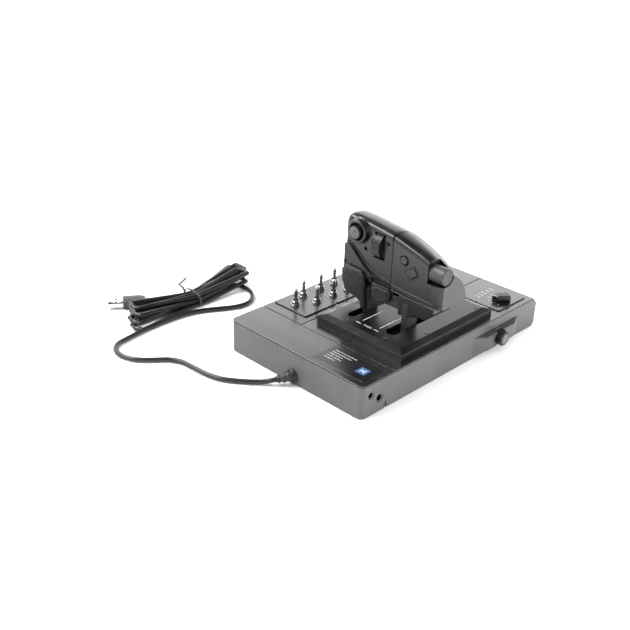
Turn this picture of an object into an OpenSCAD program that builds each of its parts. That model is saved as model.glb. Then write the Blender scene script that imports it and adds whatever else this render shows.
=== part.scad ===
// Dual-lever flight throttle: a flat base that carries two swinging grips, seven toggles,
// a pointer selector, a side adjuster and a USB lead.
// X runs to the user's right, Y away from the user, Z up; the origin is under the base's centre.

/* [Base] */
// Width of the base, side to side
base_w = 155; // [150:0.5:165]
// Depth of the base, user side to lead side
base_d = 240.4; // [236:0.4:250]
// Height of the deck above the table
base_h = 30.4; // [30:0.1:33]
// Thickness of the base's walls
wall = 2.6; // [2.2:0.1:3.4]
// Radius of the upright corners on the lead side
corner_r = 5; // [3:0.5:8]

/* [Lever gate] */
// Height of the raised gate above the deck
gate_rise = 7.8; // [7:0.1:8.2]
// Width of the gate's sloping border
gate_bevel = 6; // [4:0.5:8]
// Lead-side end of both lever slots
slot_front = 50.5; // [49:0.5:54]
// User-side end of both lever slots
slot_back = -30; // [-36:1:-14]

/* [Levers] */
// Height of the axle that both levers turn on
pivot_z = 10; // [9.5:0.1:10.5]
// Distance of the axle from the base's middle, towards the lead
pivot_y = 28; // [27.5:0.1:28.5]
// Radius of the steel axle
axle_r = 3; // [2.5:0.1:3.2]
// Running gap between axle and bush
axle_gap = 0.05; // [0.02:0.01:0.08]
// Wall thickness of the grip shells
shell_t = 2.4; // [2:0.1:3]

/* [Toggles] */
// Height of a toggle's tip above the table
toggle_tip_z = 46.5; // [44:0.5:49]
// Width across the flats of a toggle's nut
nut_af = 8; // [7.5:0.1:8.6]

/* [Lead] */
// Diameter of the USB lead
lead_d = 4.4; // [4:0.1:4.8]
// Height of the tied hank of lead
hank_h = 15; // [13:0.5:17]

/* [Hidden] */
$fn = 48;

shell_col = [0.30, 0.31, 0.32];
deck_col = [0.16, 0.165, 0.17];
black_col = [0.06, 0.06, 0.065];
grip_col = [0.10, 0.10, 0.11];
steel_col = [0.72, 0.72, 0.70];
nut_col = [0.80, 0.78, 0.70];

half_w = base_w / 2;
half_d = base_d / 2;
mat_t = 0.8;                       // rubber under the base
top_chamfer = 6.3;                 // user-side edge of the deck
bottom_chamfer = 2.7;              // user-side edge underneath
flange_t = 0.6;                    // visible edge of a deck panel
groove_h = 0.8;                    // shadow groove under that edge
groove_in = 1.4;
ledge_z = base_h - flange_t - groove_h - 0.4;
seam = 0.4;                        // gap between two deck panels
floor_z = mat_t + 3;

lead_exit_z = 7.6;
front_seam_y = 82.5;
right_seam_x = 29;
left_seam_x = -18;
deck_back_y = -half_d + top_chamfer;

gate_lo = [-71, -56];
gate_hi = [24, 68];
gate_z = base_h + gate_rise;
gate_side = 5.8;                   // upright part of the gate's edge
inner_slot = [-1.6, 6.6];          // X range of each slot
outer_slot = [-47.4, -35.6];

toggle_xy = [[59.5, 59.7], [67.4, 42], [50.3, 41.7], [66.8, 20.4], [50.3, 20.4], [67.6, 1.5], [50.3, 1.5]];
toggle_plate_t = 1.1;
toggle_pivot_z = base_h + 0.6;
toggle_bush_r = 3.1;
toggle_bore_r = 2.75;
toggle_top_z = base_h + 5.2;
nut_z = base_h + toggle_plate_t;

selector_xy = [-60.5, -86.5];
selector_lo = [-72, -108.4];
selector_hi = [-32, -66.8];
adjust_yz = [-58, 12];

inner_x = [-0.4, 5.4];             // X range of each arm
outer_x = [-44.4, -38.6];
seam_x = -23.4;                    // parting plane between the two grips
grip_front_y = 30;
grip_split_y = 12;
grip_floor_z = 64.5;

gate_screw_xy = [[-45, 57.8], [-2, 57.8], [-62, 25.5], [15, 25.5], [-62, -44], [15, -44]];
block_x = [-56, -34.6, -12.4, 9.4]; // left faces of the bearing blocks
block_w = 8;
hub_r = 5.8;

// ---- shared shapes ----

module box_at(lo, hi) {
    translate(lo)
        cube([hi[0] - lo[0], hi[1] - lo[1], hi[2] - lo[2]]);
}

module along_x(x0, x1) {
    translate([x0, 0, 0])
        rotate([90, 0, 90])
            linear_extrude(x1 - x0)
                children();
}

module along_y(y0, y1) {
    translate([0, y1, 0])
        rotate([90, 0, 0])
            linear_extrude(y1 - y0)
                children();
}

module rod_x(y, z, r, x0, x1) {
    translate([x0, y, z])
        rotate([0, 90, 0])
            cylinder(h = x1 - x0, r = r);
}

module rod_y(x, z, r, y0, y1) {
    translate([x, y1, z])
        rotate([90, 0, 0])
            cylinder(h = y1 - y0, r = r);
}

module plan_outline(inset) {
    r = corner_r - min(inset, corner_r - 1);
    hi_y = half_d - inset;
    w = half_w - inset;
    union() {
        translate([-w, -half_d + inset])
            square([2 * w, base_d - 2 * inset - r]);
        translate([-w + r, -half_d + inset])
            square([2 * (w - r), base_d - 2 * inset]);
        translate([-w + r, hi_y - r])
            circle(r);
        translate([w - r, hi_y - r])
            circle(r);
    }
}

// ---- base ----

module base_shell() {
    color(shell_col)
        difference() {
            intersection() {
                along_x(-half_w, half_w)
                    polygon([
                        [-half_d + bottom_chamfer, mat_t],
                        [half_d, mat_t],
                        [half_d, base_h - flange_t - groove_h],
                        [deck_back_y, base_h - flange_t - groove_h],
                        [deck_back_y, base_h],
                        [-half_d, base_h - top_chamfer],
                        [-half_d, mat_t + bottom_chamfer]
                    ]);
                linear_extrude(base_h)
                    plan_outline(0);
            }
            translate([0, 0, ledge_z])
                linear_extrude(base_h)
                    intersection() {
                        plan_outline(groove_in);
                        translate([-half_w, deck_back_y])
                            square([base_w, base_d]);
                    }
            box_at([-half_w + wall, -half_d + 9, floor_z], [half_w - wall, half_d - wall, base_h]);
            rod_y(0, lead_exit_z, 3.2, half_d - 8, half_d + 1);
            rod_x(110.4, 19.6, 3.6, -half_w - 1, -half_w + wall + 1);
            rod_x(100, 13.4, 4.4, -half_w - 1, -half_w + wall + 1);
            rod_x(adjust_yz[0], adjust_yz[1], 2.5, -half_w - 1, -half_w + wall + 1);
            box_at([-half_w - 1, 90.6, 0], [-half_w + 1.2, 92.8, 7]);
        }
}

module rubber_mat() {
    color(black_col)
        box_at([-half_w + 6, -half_d + 8, 0], [half_w - 6, half_d - 8, mat_t]);
}

// One deck panel: a thin flange over a narrower body, cut from the base's plan.
module deck_panel(lo, hi) {
    intersection() {
        union() {
            translate([0, 0, base_h - flange_t])
                linear_extrude(flange_t)
                    plan_outline(0);
            translate([0, 0, ledge_z])
                linear_extrude(base_h - flange_t - ledge_z)
                    plan_outline(groove_in);
        }
        box_at([lo[0], lo[1], 0], [hi[0], hi[1], base_h + 1]);
    }
}

module toggle_holes() {
    for (p = toggle_xy)
        translate([p[0], p[1], 0])
            cylinder(h = base_h + 10, r = toggle_bush_r);
}

module screw_holes(list, r) {
    for (p = list)
        translate([p[0], p[1], 0])
            cylinder(h = gate_z + 1, r = r);
}

module front_cover() {
    color(deck_col)
        difference() {
            deck_panel([-half_w, front_seam_y + seam / 2], [half_w, half_d]);
            box_at([-72, 88, base_h - 0.5], [-17, 114, base_h + 1]);
        }
}

module right_deck() {
    color(deck_col)
        difference() {
            deck_panel([right_seam_x + seam / 2, deck_back_y], [half_w, front_seam_y - seam / 2]);
            toggle_holes();
        }
}

module centre_deck() {
    color(deck_col)
        difference() {
            deck_panel([left_seam_x + seam / 2, deck_back_y], [right_seam_x - seam / 2, front_seam_y - seam / 2]);
            box_at([inner_slot[0] - 3, slot_back - 3, 0], [inner_slot[1] + 3, slot_front + 3, base_h + 1]);
        }
}

module left_deck() {
    color(deck_col)
        difference() {
            deck_panel([-half_w, deck_back_y], [left_seam_x - seam / 2, front_seam_y - seam / 2]);
            box_at([outer_slot[0] - 3, slot_back - 3, 0], [outer_slot[1] + 3, slot_front + 3, base_h + 1]);
            translate([selector_xy[0], selector_xy[1], 0])
                cylinder(h = base_h + 1, r = 5);
        }
}

module gate_blank() {
    w = gate_hi[0] - gate_lo[0];
    d = gate_hi[1] - gate_lo[1];
    translate([gate_lo[0], gate_lo[1], base_h])
        hull() {
            cube([w, d, gate_side]);
            translate([gate_bevel, gate_bevel, 0])
                cube([w - 2 * gate_bevel, d - 2 * gate_bevel, gate_rise]);
        }
}

// A slot with round ends, cut right through the gate.
module gate_slot(xs) {
    r = (xs[1] - xs[0]) / 2;
    translate([0, 0, base_h - 1])
        linear_extrude(gate_rise + 2)
            union() {
                translate([xs[0], slot_back + r])
                    square([2 * r, slot_front - slot_back - 2 * r]);
                translate([xs[0] + r, slot_front - r])
                    circle(r);
                translate([xs[0] + r, slot_back + r])
                    circle(r);
            }
}

module gate_plate() {
    color(black_col)
        difference() {
            gate_blank();
            gate_slot(inner_slot);
            gate_slot(outer_slot);
            box_at([-50, -33, base_h - 1], [9, 53.5, gate_z - 2.2]);
            screw_holes(gate_screw_xy, 1.5);
        }
}

// Countersunk screws in the gate, and the cap screws on the bearing blocks.
module base_screws() {
    color(steel_col)
        union() {
            for (p = gate_screw_xy)
                translate([p[0], p[1], gate_z - 3])
                    cylinder(h = 3.1, r = 1.5);
            for (x = block_x, y = [pivot_y - 6.5, pivot_y + 6.5])
                translate([x + block_w / 2, y, pivot_z + 8])
                    cylinder(h = 1.6, r = 2);
        }
}

module raised_panel(lo, hi, r) {
    translate([0, 0, base_h])
        linear_extrude(toggle_plate_t)
            union() {
                translate([lo[0] + r, lo[1]])
                    square([hi[0] - lo[0] - 2 * r, hi[1] - lo[1]]);
                translate([lo[0], lo[1] + r])
                    square([hi[0] - lo[0], hi[1] - lo[1] - 2 * r]);
                for (x = [lo[0] + r, hi[0] - r], y = [lo[1] + r, hi[1] - r])
                    translate([x, y])
                        circle(r);
            }
}

module toggle_plate_front() {
    color(deck_col)
        difference() {
            raised_panel([36, 30.3], [76, 70], 1.5);
            toggle_holes();
        }
}

module toggle_plate_rear() {
    color(deck_col)
        difference() {
            raised_panel([36, -10], [76, 29.7], 1.5);
            toggle_holes();
        }
}

// Switch housings: a box under the deck with a hollow bushing through it.
module toggle_bodies() {
    color(steel_col)
        for (p = toggle_xy)
            translate([p[0], p[1], 0])
                difference() {
                    union() {
                        box_at([-6.5, -4, ledge_z - 11], [6.5, 4, ledge_z]);
                        cylinder(h = toggle_top_z, r = toggle_bush_r);
                    }
                    translate([0, 0, ledge_z - 3])
                        cylinder(h = 20, r = toggle_bore_r);
                    translate([0, 0, -1])
                        cylinder(h = ledge_z - 10, r = toggle_bush_r + 1);
                }
}

module toggle_nuts() {
    color(nut_col)
        for (p = toggle_xy)
            translate([p[0], p[1], nut_z])
                difference() {
                    cylinder(h = 2.2, r = nut_af / 2 / cos(30), $fn = 6);
                    translate([0, 0, -1])
                        cylinder(h = 5, r = toggle_bush_r);
                }
}

module toggle_lever(i) {
    p = toggle_xy[i - 1];
    color(steel_col)
        translate([p[0], p[1], 0])
            rotate_extrude()
                polygon([
                    [0, toggle_pivot_z - 2.4],
                    [1.2, toggle_pivot_z - 2.2],
                    [1.8, toggle_pivot_z - 1],
                    [1.8, toggle_pivot_z + 1],
                    [1.2, toggle_pivot_z + 2.2],
                    [1.15, toggle_top_z + 1],
                    [1.5, toggle_tip_z - 3],
                    [1.4, toggle_tip_z - 1.2],
                    [0.7, toggle_tip_z],
                    [0, toggle_tip_z]
                ]);
}

module badge_plate() {
    color(deck_col)
        box_at([-71.8, 88.2, base_h - 0.5], [-17.2, 113.8, base_h + 0.1]);
}

module selector_plate() {
    color(deck_col)
        difference() {
            raised_panel(selector_lo, selector_hi, 1.5);
            translate([selector_xy[0], selector_xy[1], 0])
                cylinder(h = base_h + 5, r = 3.2);
        }
}

module selector_switch() {
    color(steel_col)
        translate([selector_xy[0], selector_xy[1], 0])
            difference() {
                union() {
                    translate([0, 0, 15])
                        cylinder(h = ledge_z - 15, r = 8);
                    translate([0, 0, ledge_z - 1])
                        cylinder(h = 3, r = 3);
                }
                translate([0, 0, ledge_z - 8])
                    cylinder(h = 20, r = 2.05);
            }
}

// Six-sided pointer knob, turned towards the lead side.
module selector_knob() {
    color(black_col)
        translate([selector_xy[0], selector_xy[1], 0])
            union() {
                translate([0, 0, ledge_z - 7])
                    cylinder(h = 12, r = 2);
                rotate([0, 0, 50])
                    translate([0, 0, base_h + toggle_plate_t + 0.2])
                        linear_extrude(5.4)
                            polygon([[9, 0], [5.5, 4], [-5.5, 4], [-9, 0], [-5.5, -4], [5.5, -4]]);
            }
}

// Tapered housing on the outer side wall, with the adjuster's hole through it.
module side_housing() {
    x0 = -half_w;
    color(shell_col)
        difference() {
            translate([0, 0, 6.4])
                linear_extrude(11.1)
                    polygon([
                        [x0, -23.5], [x0 - 4.7, -38], [x0 - 4.7, -79], [x0, -91]
                    ]);
            rod_x(adjust_yz[0], adjust_yz[1], 7.6, x0 - 6, x0 - 1.2);
            rod_x(adjust_yz[0], adjust_yz[1], 2.5, x0 - 6, x0 + 1);
        }
}

module tension_knob() {
    x0 = -half_w;
    color(black_col)
        difference() {
            union() {
                rod_x(adjust_yz[0], adjust_yz[1], 6.8, x0 - 8.7, x0 - 1.7);
                rod_x(adjust_yz[0], adjust_yz[1], 2, x0 - 3, x0 + 9);
            }
            for (a = [0:45:315])
                translate([0, adjust_yz[0], adjust_yz[1]])
                    rotate([a + 10, 0, 0])
                        rod_x(0, 7.9, 1.7, x0 - 9, x0 - 1);
        }
}

module aux_sockets() {
    color(steel_col)
        for (s = [[110.4, 19.6, 3.6, 2.5], [100, 13.4, 4.4, 3]])
            difference() {
                rod_x(s[0], s[1], s[2], -half_w + 0.6, -half_w + 14);
                rod_x(s[0], s[1], s[3], -half_w - 1, -half_w + 12);
            }
}

module main_board() {
    color("darkgreen")
        union() {
            box_at([-38, -100, 7], [62, -34, 8.6]);
            box_at([-10, -80, 8.6], [8, -62, 10.4]);
            box_at([30, -60, 8.6], [44, -46, 14]);
            for (x = [-32, 56], y = [-94, -40])
                translate([x, y, floor_z])
                    cylinder(h = 7 - floor_z, r = 2.5);
        }
}

// Four upright bearing blocks that hold the ends of the axle beside each lever.
module pivot_blocks() {
    color(black_col)
        for (x = block_x)
            difference() {
                box_at([x, pivot_y - 9, floor_z], [x + block_w, pivot_y + 9, pivot_z + 8]);
                rod_x(pivot_y, pivot_z, axle_r, x - 1, x + block_w + 1);
            }
}

module axle() {
    color(steel_col)
        rod_x(pivot_y, pivot_z, axle_r, -58, 20);
}

// Felt rings squeezed between each lever's hub and its bearing blocks.
module friction_pads() {
    color("tan")
        for (x = [inner_x[0] - 4, inner_x[1] + 2.3, outer_x[0] - 3.6, outer_x[1] + 2.3])
            difference() {
                rod_x(pivot_y, pivot_z, hub_r, x, x + 1.6);
                rod_x(pivot_y, pivot_z, axle_r, x - 1, x + 3);
            }
}

// Upright boards that read the angle of each lever's magnet.
module sensor_boards() {
    color("darkgreen")
        for (xs = [inner_x, outer_x])
            box_at([xs[1] + 2.7, -6, floor_z], [xs[1] + 4, 18, floor_z + 23]);
}

// ---- levers ----

module hub_ring(xs) {
    rod_x(pivot_y, pivot_z, hub_r, xs[0] - 2, xs[1] + 2);
}

module lever_arm(xs) {
    difference() {
        union() {
            hub_ring(xs);
            along_x(xs[0], xs[1])
                polygon([
                    [pivot_y - hub_r, pivot_z], [pivot_y + hub_r, pivot_z], [30.5, 34], [30.5, 58],
                    [24, 62], [24, 88], [10, 88], [10, 62], [16, 52], [17, 34]
                ]);
        }
        rod_x(pivot_y, pivot_z, axle_r + 2, xs[0] - 3, xs[1] + 3);
        box_at([xs[0] + 1.6, 18, pivot_z + 16], [xs[1] - 1.6, 20, pivot_z + 20]);
    }
}

module lever_bush(xs) {
    difference() {
        rod_x(pivot_y, pivot_z, axle_r + 2, xs[0] - 2, xs[1] + 2);
        rod_x(pivot_y, pivot_z, axle_r + axle_gap, xs[0] - 3, xs[1] + 3);
    }
}

module lever_magnet(xs) {
    box_at([xs[0] + 1.6, 18, pivot_z + 16], [xs[1] - 1.6, 20, pivot_z + 20]);
}

// Side profile of a grip at one station: upright front, rounded top edge, curved back.
// Points run (y, z); h is the station's top height and inset thins it for the cavity.
function grip_back(h, back, inset) = [
    for (a = [0:10:90])
        [19 - (19 - back - inset) * sin(a), grip_floor_z + 4 + (h - grip_floor_z - 4 - inset) * cos(a)]
];

function grip_nose(h, inset) = [
    for (a = [0:15:90])
        [grip_front_y - 7 + (7 - inset) * sin(90 - a), h - 7 + (7 - inset) * sin(a)]
];

module grip_station(x, h, back, inset) {
    translate([x, 0, 0])
        rotate([90, 0, 90])
            linear_extrude(0.02)
                polygon(concat(
                    [[back + 2 + inset, grip_floor_z + inset], [grip_front_y - inset, grip_floor_z + inset]],
                    grip_nose(h, inset),
                    grip_back(h, back, inset)
                ));
}

slew_xz = [13.3, 108.5];           // centre of the slew control
slew_pivot_y = 24;
wheel_x = [-13, -4];               // sides of the thumb wheel
wheel_yz = [25, 101];
arch_r = 61;                       // sweep that the other lever's finger lift needs
arch_x = -2.6;

inner_stations = [[29.4,113.5,-3],[26.5,119,-6],[12,119.4,-8],[-4,118,-8],[-23.2,115.2,-8]];
outer_stations = [[-23.7,115,-8],[-38,111.8,-8],[-50,108.4,-8],[-62,104.4,-7],[-72,99.4,-6.4],[-77,94.8,-5.8]];

module grip_solid(stations, inset) {
    n = len(stations) - 1;
    lo = min(stations[0][0], stations[n][0]) + inset;
    hi = max(stations[0][0], stations[n][0]) - inset;
    intersection() {
        hull()
            for (s = stations)
                grip_station(s[0], s[1], s[2], inset);
        box_at([lo, -60, 0], [hi, 60, 200]);
    }
}

// The lower front body below the lip, over each slot's outer side.
module lower_body(xs, slope) {
    intersection() {
        along_x(xs[0], xs[1])
            polygon([[31, 45.5], [31, 92], [20, 92], [20, 69], [14, 64.4], [14, 54], [25, 46]]);
        along_y(0, 60)
            polygon(slope);
    }
}

inner_slope = [[6.4, 64.6], [6.4, 46], [20, 45.4], [29.4, 50], [29.4, 92], [21, 87], [11, 76], [6.4, 72]];
outer_slope = [[-45.2, 64.6], [-45.2, 47], [-62.5, 51.7], [-71.5, 60], [-71.5, 64.6], [-71.5, 68], [-45.2, 68]];

// The inner grip is hollow, apart from the arch over the other lever's finger lift and the wheel's well.
module inner_hollow() {
    difference() {
        grip_solid(inner_stations, shell_t);
        rod_x(pivot_y, pivot_z, arch_r + shell_t, -25, arch_x + shell_t);
        box_at([wheel_x[0] - 2.4, grip_split_y - 8, 86], [wheel_x[1] + 2.4, 40, 130]);
    }
}

module inner_grip_half(y0, y1) {
    difference() {
        intersection() {
            difference() {
                union() {
                    grip_solid(inner_stations, 0);
                    lower_body([6.6, 29.4], inner_slope);
                }
                inner_hollow();
                box_at([9, 16, 52], [27, 28.6, 66.9]);
            }
            box_at([-100, y0, 0], [100, y1, 200]);
        }
        rod_x(pivot_y, pivot_z, arch_r, -25, arch_x);
        box_at([inner_x[0], 10, 60], [inner_x[1], 24, 88]);
        box_at([13.6, 27, 55.4], [20.4, 32, 66.6]);
        rod_y(slew_xz[0], slew_xz[1], 7.4, 16, 40);
        box_at([wheel_x[0] - 0.7, wheel_yz[0] - 11.8, 89.2], [wheel_x[1] + 0.7, 40, 112.8]);
        rod_x(wheel_yz[0], wheel_yz[1], 1.6, wheel_x[0] - 3, wheel_x[1] + 3);
        for (p = inner_screw_xz)
            rod_y(p[0], p[1], 1.6, 6, 40);
    }
}

inner_screw_xz = [[5.6, 94.6], [-18.6, 106.2]];

module inner_grip_front() {
    color(grip_col)
        inner_grip_half(grip_split_y, 60);
}

module inner_grip_back() {
    color(grip_col)
        inner_grip_half(-60, grip_split_y - 0.02);
}

module inner_screws() {
    color(black_col)
        for (p = inner_screw_xz)
            rod_y(p[0], p[1], 1.6, 6, 28.4);
}

// Round cup around the slew control.
module slew_hood() {
    color(grip_col)
        difference() {
            rod_y(slew_xz[0], slew_xz[1], 10, grip_front_y, 34.6);
            rod_y(slew_xz[0], slew_xz[1], 7.7, 29, 40);
        }
}

// A ring that tips up and down and carries the knob, which tips side to side.
module slew_gimbal() {
    color(steel_col)
        difference() {
            rod_y(slew_xz[0], slew_xz[1], 6.2, slew_pivot_y - 1.2, slew_pivot_y + 1.2);
            rod_y(slew_xz[0], slew_xz[1], 4.2, slew_pivot_y - 2, slew_pivot_y + 2);
        }
}

module slew_knob() {
    color(grip_col)
        union() {
            rod_y(slew_xz[0], slew_xz[1], 3.4, slew_pivot_y - 1.2, 31);
            rod_y(slew_xz[0], slew_xz[1], 6, 31, 37.5);
        }
}

module wheel_axle() {
    color(steel_col)
        rod_x(wheel_yz[0], wheel_yz[1], 1.6, wheel_x[0] - 3, wheel_x[1] + 3);
}

module tilt_wheel() {
    color(black_col)
        difference() {
            rod_x(wheel_yz[0], wheel_yz[1], 11, wheel_x[0], wheel_x[1]);
            rod_x(wheel_yz[0], wheel_yz[1], 1.6 + axle_gap, wheel_x[0] - 1, wheel_x[1] + 1);
        }
}

inner_lift_xz = [
    [29.2, 69.4], [23.8, 74.4], [6.8, 73.6], [3.6, 70.8], [1.6, 39.6], [5, 39.6], [6, 44.8], [20, 53.4], [28.6, 57.6]
];
outer_lift_xz = [[-3.8, 66.2], [-23, 66.4], [-23.8, 55.4], [-9, 43.6], [-5.4, 43.6]];

// Each lift is a flat pad with a stem that slides in a slot behind it.
module inner_lift() {
    color(grip_col)
        union() {
            along_y(31.3, 34.6)
                polygon(inner_lift_xz);
            box_at([14, 24, 56], [20, 31.4, 62]);
        }
}

module outer_lift() {
    color(grip_col)
        union() {
            along_y(28.4, 32)
                polygon(outer_lift_xz);
            box_at([-16.6, 22.4, 50.4], [-12.4, 28.6, 55.6]);
        }
}

module inner_arm() {
    color(shell_col)
        lever_arm(inner_x);
}

module inner_bush() {
    color("goldenrod")
        lever_bush(inner_x);
}

module inner_magnet() {
    color(steel_col)
        lever_magnet(inner_x);
}

// The outer arm also reaches across under the inner grip to guide its finger lift.
module outer_arm() {
    color(shell_col)
        union() {
            lever_arm(outer_x);
            difference() {
                box_at([outer_x[1] - 0.5, 19.6, 50], [-6.4, 28, 56]);
                box_at([-17, 22, 49], [-12, 29, 57]);
            }
        }
}

module outer_bush() {
    color("goldenrod")
        lever_bush(outer_x);
}

module outer_magnet() {
    color(steel_col)
        lever_magnet(outer_x);
}

button_xz = [[-36.9, 97.3], [-45.5, 88.2]];
end_knob_yz = [23, 93.3];

module outer_grip_half(y0, y1) {
    difference() {
        intersection() {
            difference() {
                union() {
                    grip_solid(outer_stations, 0);
                    lower_body([-71.5, -45.6], outer_slope);
                }
                difference() {
                    grip_solid(outer_stations, shell_t);
                    box_at([-90, grip_split_y, 83.4], [-60, 40, 120]);
                }
                box_at([-66, 16, 58], [-48, 28.6, 66.9]);
            }
            box_at([-100, y0, 0], [100, y1, 200]);
        }
        box_at([outer_x[0], 10, 60], [outer_x[1], 24, 88]);
        box_at([-78, 15.4, 85.6], [-61.8, 40, 120]);
        rod_x(end_knob_yz[0], end_knob_yz[1], 2.4, -62, -59);
        rod_y(button_xz[0][0], button_xz[0][1], 4.6, 24, 40);
        translate([button_xz[1][0], 0, button_xz[1][1]])
            rotate([0, 38, 0])
                box_at([-5.9, 24, -4.4], [5.9, 40, 4.4]);
        for (p = outer_screw_xz)
            rod_y(p[0], p[1], 1.6, 6, 40);
    }
}

outer_screw_xz = [[-28, 76], [-58, 76]];

module outer_grip_front() {
    color(grip_col)
        outer_grip_half(grip_split_y, 60);
}

module outer_grip_back() {
    color(grip_col)
        outer_grip_half(-60, grip_split_y - 0.02);
}

module outer_screws() {
    color(black_col)
        for (p = outer_screw_xz)
            rod_y(p[0], p[1], 1.6, 6, 28.4);
}

module hex_button() {
    color("gray")
        translate([button_xz[0][0], 31.6, button_xz[0][1]])
            rotate([90, 30, 0])
                cylinder(h = 7, r = 3.9, $fn = 6);
}

module square_button() {
    color(black_col)
        translate([button_xz[1][0], 0, button_xz[1][1]])
            rotate([0, 38, 0])
                box_at([-5.5, 25.7, -4], [5.5, 31.2, 4]);
}

module end_knob() {
    color(shell_col)
        difference() {
            union() {
                rod_x(end_knob_yz[0], end_knob_yz[1], 6.8, -75.5, -62.2);
                rod_x(end_knob_yz[0], end_knob_yz[1], 2, -63, -59);
            }
            rod_x(end_knob_yz[0], end_knob_yz[1], 0.8, -77, -75);
        }
}

// ---- lead ----

lead_r = lead_d / 2;
lead_z = lead_r + 0.05;
plug_z = 4.2;

boot_start = [0, half_d + 1.2, lead_exit_z];
boot_run = [6, 8.5, -2];

// Route from the strain relief to the hank, in order, each point (x, y, z).
lead_route = [
    boot_start + boot_run, boot_start + 1.5 * boot_run, [13, 138, 3.2], [18, 142.5, 2.4],
    [24.5, 148.5, lead_z], [34, 156.3, lead_z], [43, 161.6, lead_z], [54, 165, lead_z], [65, 166.3, lead_z],
    [76, 167, lead_z], [86, 168, lead_z], [92.5, 171, lead_z], [98.5, 175.7, lead_z], [106, 185, lead_z],
    [115, 194, lead_z], [124, 198.4, lead_z], [132.5, 199.8, lead_z], [140, 198.3, lead_z], [146, 194, lead_z],
    [149.5, 188, lead_z], [151, 180, lead_z], [152.5, 171, lead_z], [154, 161, lead_z], [155, 150, lead_z],
    [155.6, 139, lead_z], [155.6, 128, lead_z], [155.2, 118, lead_z], [154, 108, lead_z], [151, 98, lead_z],
    [147, 89.5, lead_z], [142.8, 81.7, lead_z], [139, 75, lead_z], [135.5, 68, lead_z], [133, 60, lead_z],
    [133, 52, lead_z], [135.6, 45, lead_z], [141, 38.6, lead_z], [149, 33.6, lead_z], [157, 31.6, lead_z],
    [161, 31.2, lead_z]
];

// Route from the hank to the plug.
tail_route = [
    [183, 95, lead_z], [187, 99.4, lead_z], [190, 105, lead_z], [192, 111, 3.2], [193.8, 118.3, plug_z],
    [196, 121.6, plug_z]
];
tube_sides = 8;

function unit(v) = v / norm(v);
function tangent(p, i) = unit(p[min(i + 1, len(p) - 1)] - p[max(i - 1, 0)]);
function ring(p, i) =
    let (t = tangent(p, i), s = unit(cross(t, [0, 0, 1])), u = cross(s, t))
    [for (k = [0:tube_sides - 1]) p[i] + lead_r * (cos(360 * k / tube_sides) * s + sin(360 * k / tube_sides) * u)];

module swept_tube(p) {
    n = len(p);
    m = tube_sides;
    points = [for (i = [0:n - 1]) each ring(p, i)];
    sides = [
        for (i = [0:n - 2], k = [0:m - 1])
            [i * m + k, i * m + (k + 1) % m, (i + 1) * m + (k + 1) % m, (i + 1) * m + k]
    ];
    ends = [[for (k = [m - 1:-1:0]) k], [for (k = [0:m - 1]) (n - 1) * m + k]];
    polyhedron(points = points, faces = concat(sides, ends), convexity = 6);
}

module strain_relief() {
    turn = atan2(boot_run[1], boot_run[0]);
    lean = acos(boot_run[2] / norm(boot_run));
    color(black_col)
        union() {
            rod_y(0, lead_exit_z, 3.2, half_d - wall - 3, half_d);
            rod_y(0, lead_exit_z, 6.4, half_d, half_d + 2);
            difference() {
                translate(boot_start)
                    rotate([0, lean, turn])
                        cylinder(h = norm(boot_run), r1 = 5.2, r2 = 3.4);
                box_at([-20, 100, -5], [20, half_d, 20]);
            }
        }
}

module cord_tube() {
    color(black_col)
        swept_tube(lead_route);
}

module cord_tail() {
    color(black_col)
        swept_tube(tail_route);
}

// The hank: a bow-tie outline with round ends, straight where the tie holds it.
module cord_hank() {
    color(black_col)
        linear_extrude(hank_h)
            polygon([
                [160, 158], [159.6, 140], [160.6, 118], [163, 98], [163, 78], [160.4, 52], [160, 34], [163, 25],
                [174, 15], [188, 7], [200, 3], [206, 7], [206, 22], [198, 46], [191, 66], [187, 78], [187, 94],
                [184.4, 104], [184.6, 118], [187.6, 132], [190, 144], [187, 151], [176, 159], [165, 163]
            ]);
}

module cord_tie() {
    color(shell_col)
        difference() {
            box_at([161.6, 83, 0], [188.4, 88, hank_h + 1.4]);
            box_at([163, 82, -1], [187, 89, hank_h]);
        }
}

module plug_frame() {
    translate([196, 121.6, plug_z])
        rotate([0, 0, atan2(3.3, 2.2)])
            children();
}

module plug_body() {
    color(black_col)
        plug_frame()
            union() {
                box_at([7.4, -7.6, -4.1], [28.6, 7.6, 4.1]);
                rod_x(0, 0, 3, 0, 8);
            }
}

module plug_shell() {
    color(steel_col)
        plug_frame()
            difference() {
                box_at([28.6, -6, -2.25], [42.6, 6, 2.25]);
                box_at([29.6, -5.7, -1.95], [43, 5.7, 1.95]);
            }
}

base_shell();
rubber_mat();
front_cover();
right_deck();
centre_deck();
left_deck();
gate_plate();
base_screws();
toggle_plate_front();
toggle_plate_rear();
toggle_bodies();
toggle_nuts();
badge_plate();
selector_plate();
selector_switch();
selector_knob();
side_housing();
tension_knob();
aux_sockets();
main_board();
pivot_blocks();
axle();
friction_pads();
sensor_boards();
inner_arm();
inner_bush();
inner_magnet();
inner_grip_front();
inner_grip_back();
inner_screws();
slew_hood();
slew_gimbal();
slew_knob();
wheel_axle();
tilt_wheel();
inner_lift();
outer_arm();
outer_bush();
outer_magnet();
outer_grip_front();
outer_grip_back();
outer_screws();
hex_button();
square_button();
end_knob();
outer_lift();
toggle_lever(1);  // toggle_lever_1
toggle_lever(2);  // toggle_lever_2
toggle_lever(3);  // toggle_lever_3
toggle_lever(4);  // toggle_lever_4
toggle_lever(5);  // toggle_lever_5
toggle_lever(6);  // toggle_lever_6
toggle_lever(7);  // toggle_lever_7
strain_relief();
cord_tube();
cord_hank();
cord_tail();
cord_tie();
plug_body();
plug_shell();
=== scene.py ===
import math
import random

import bmesh
import bpy
from mathutils import Matrix, Vector


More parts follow.
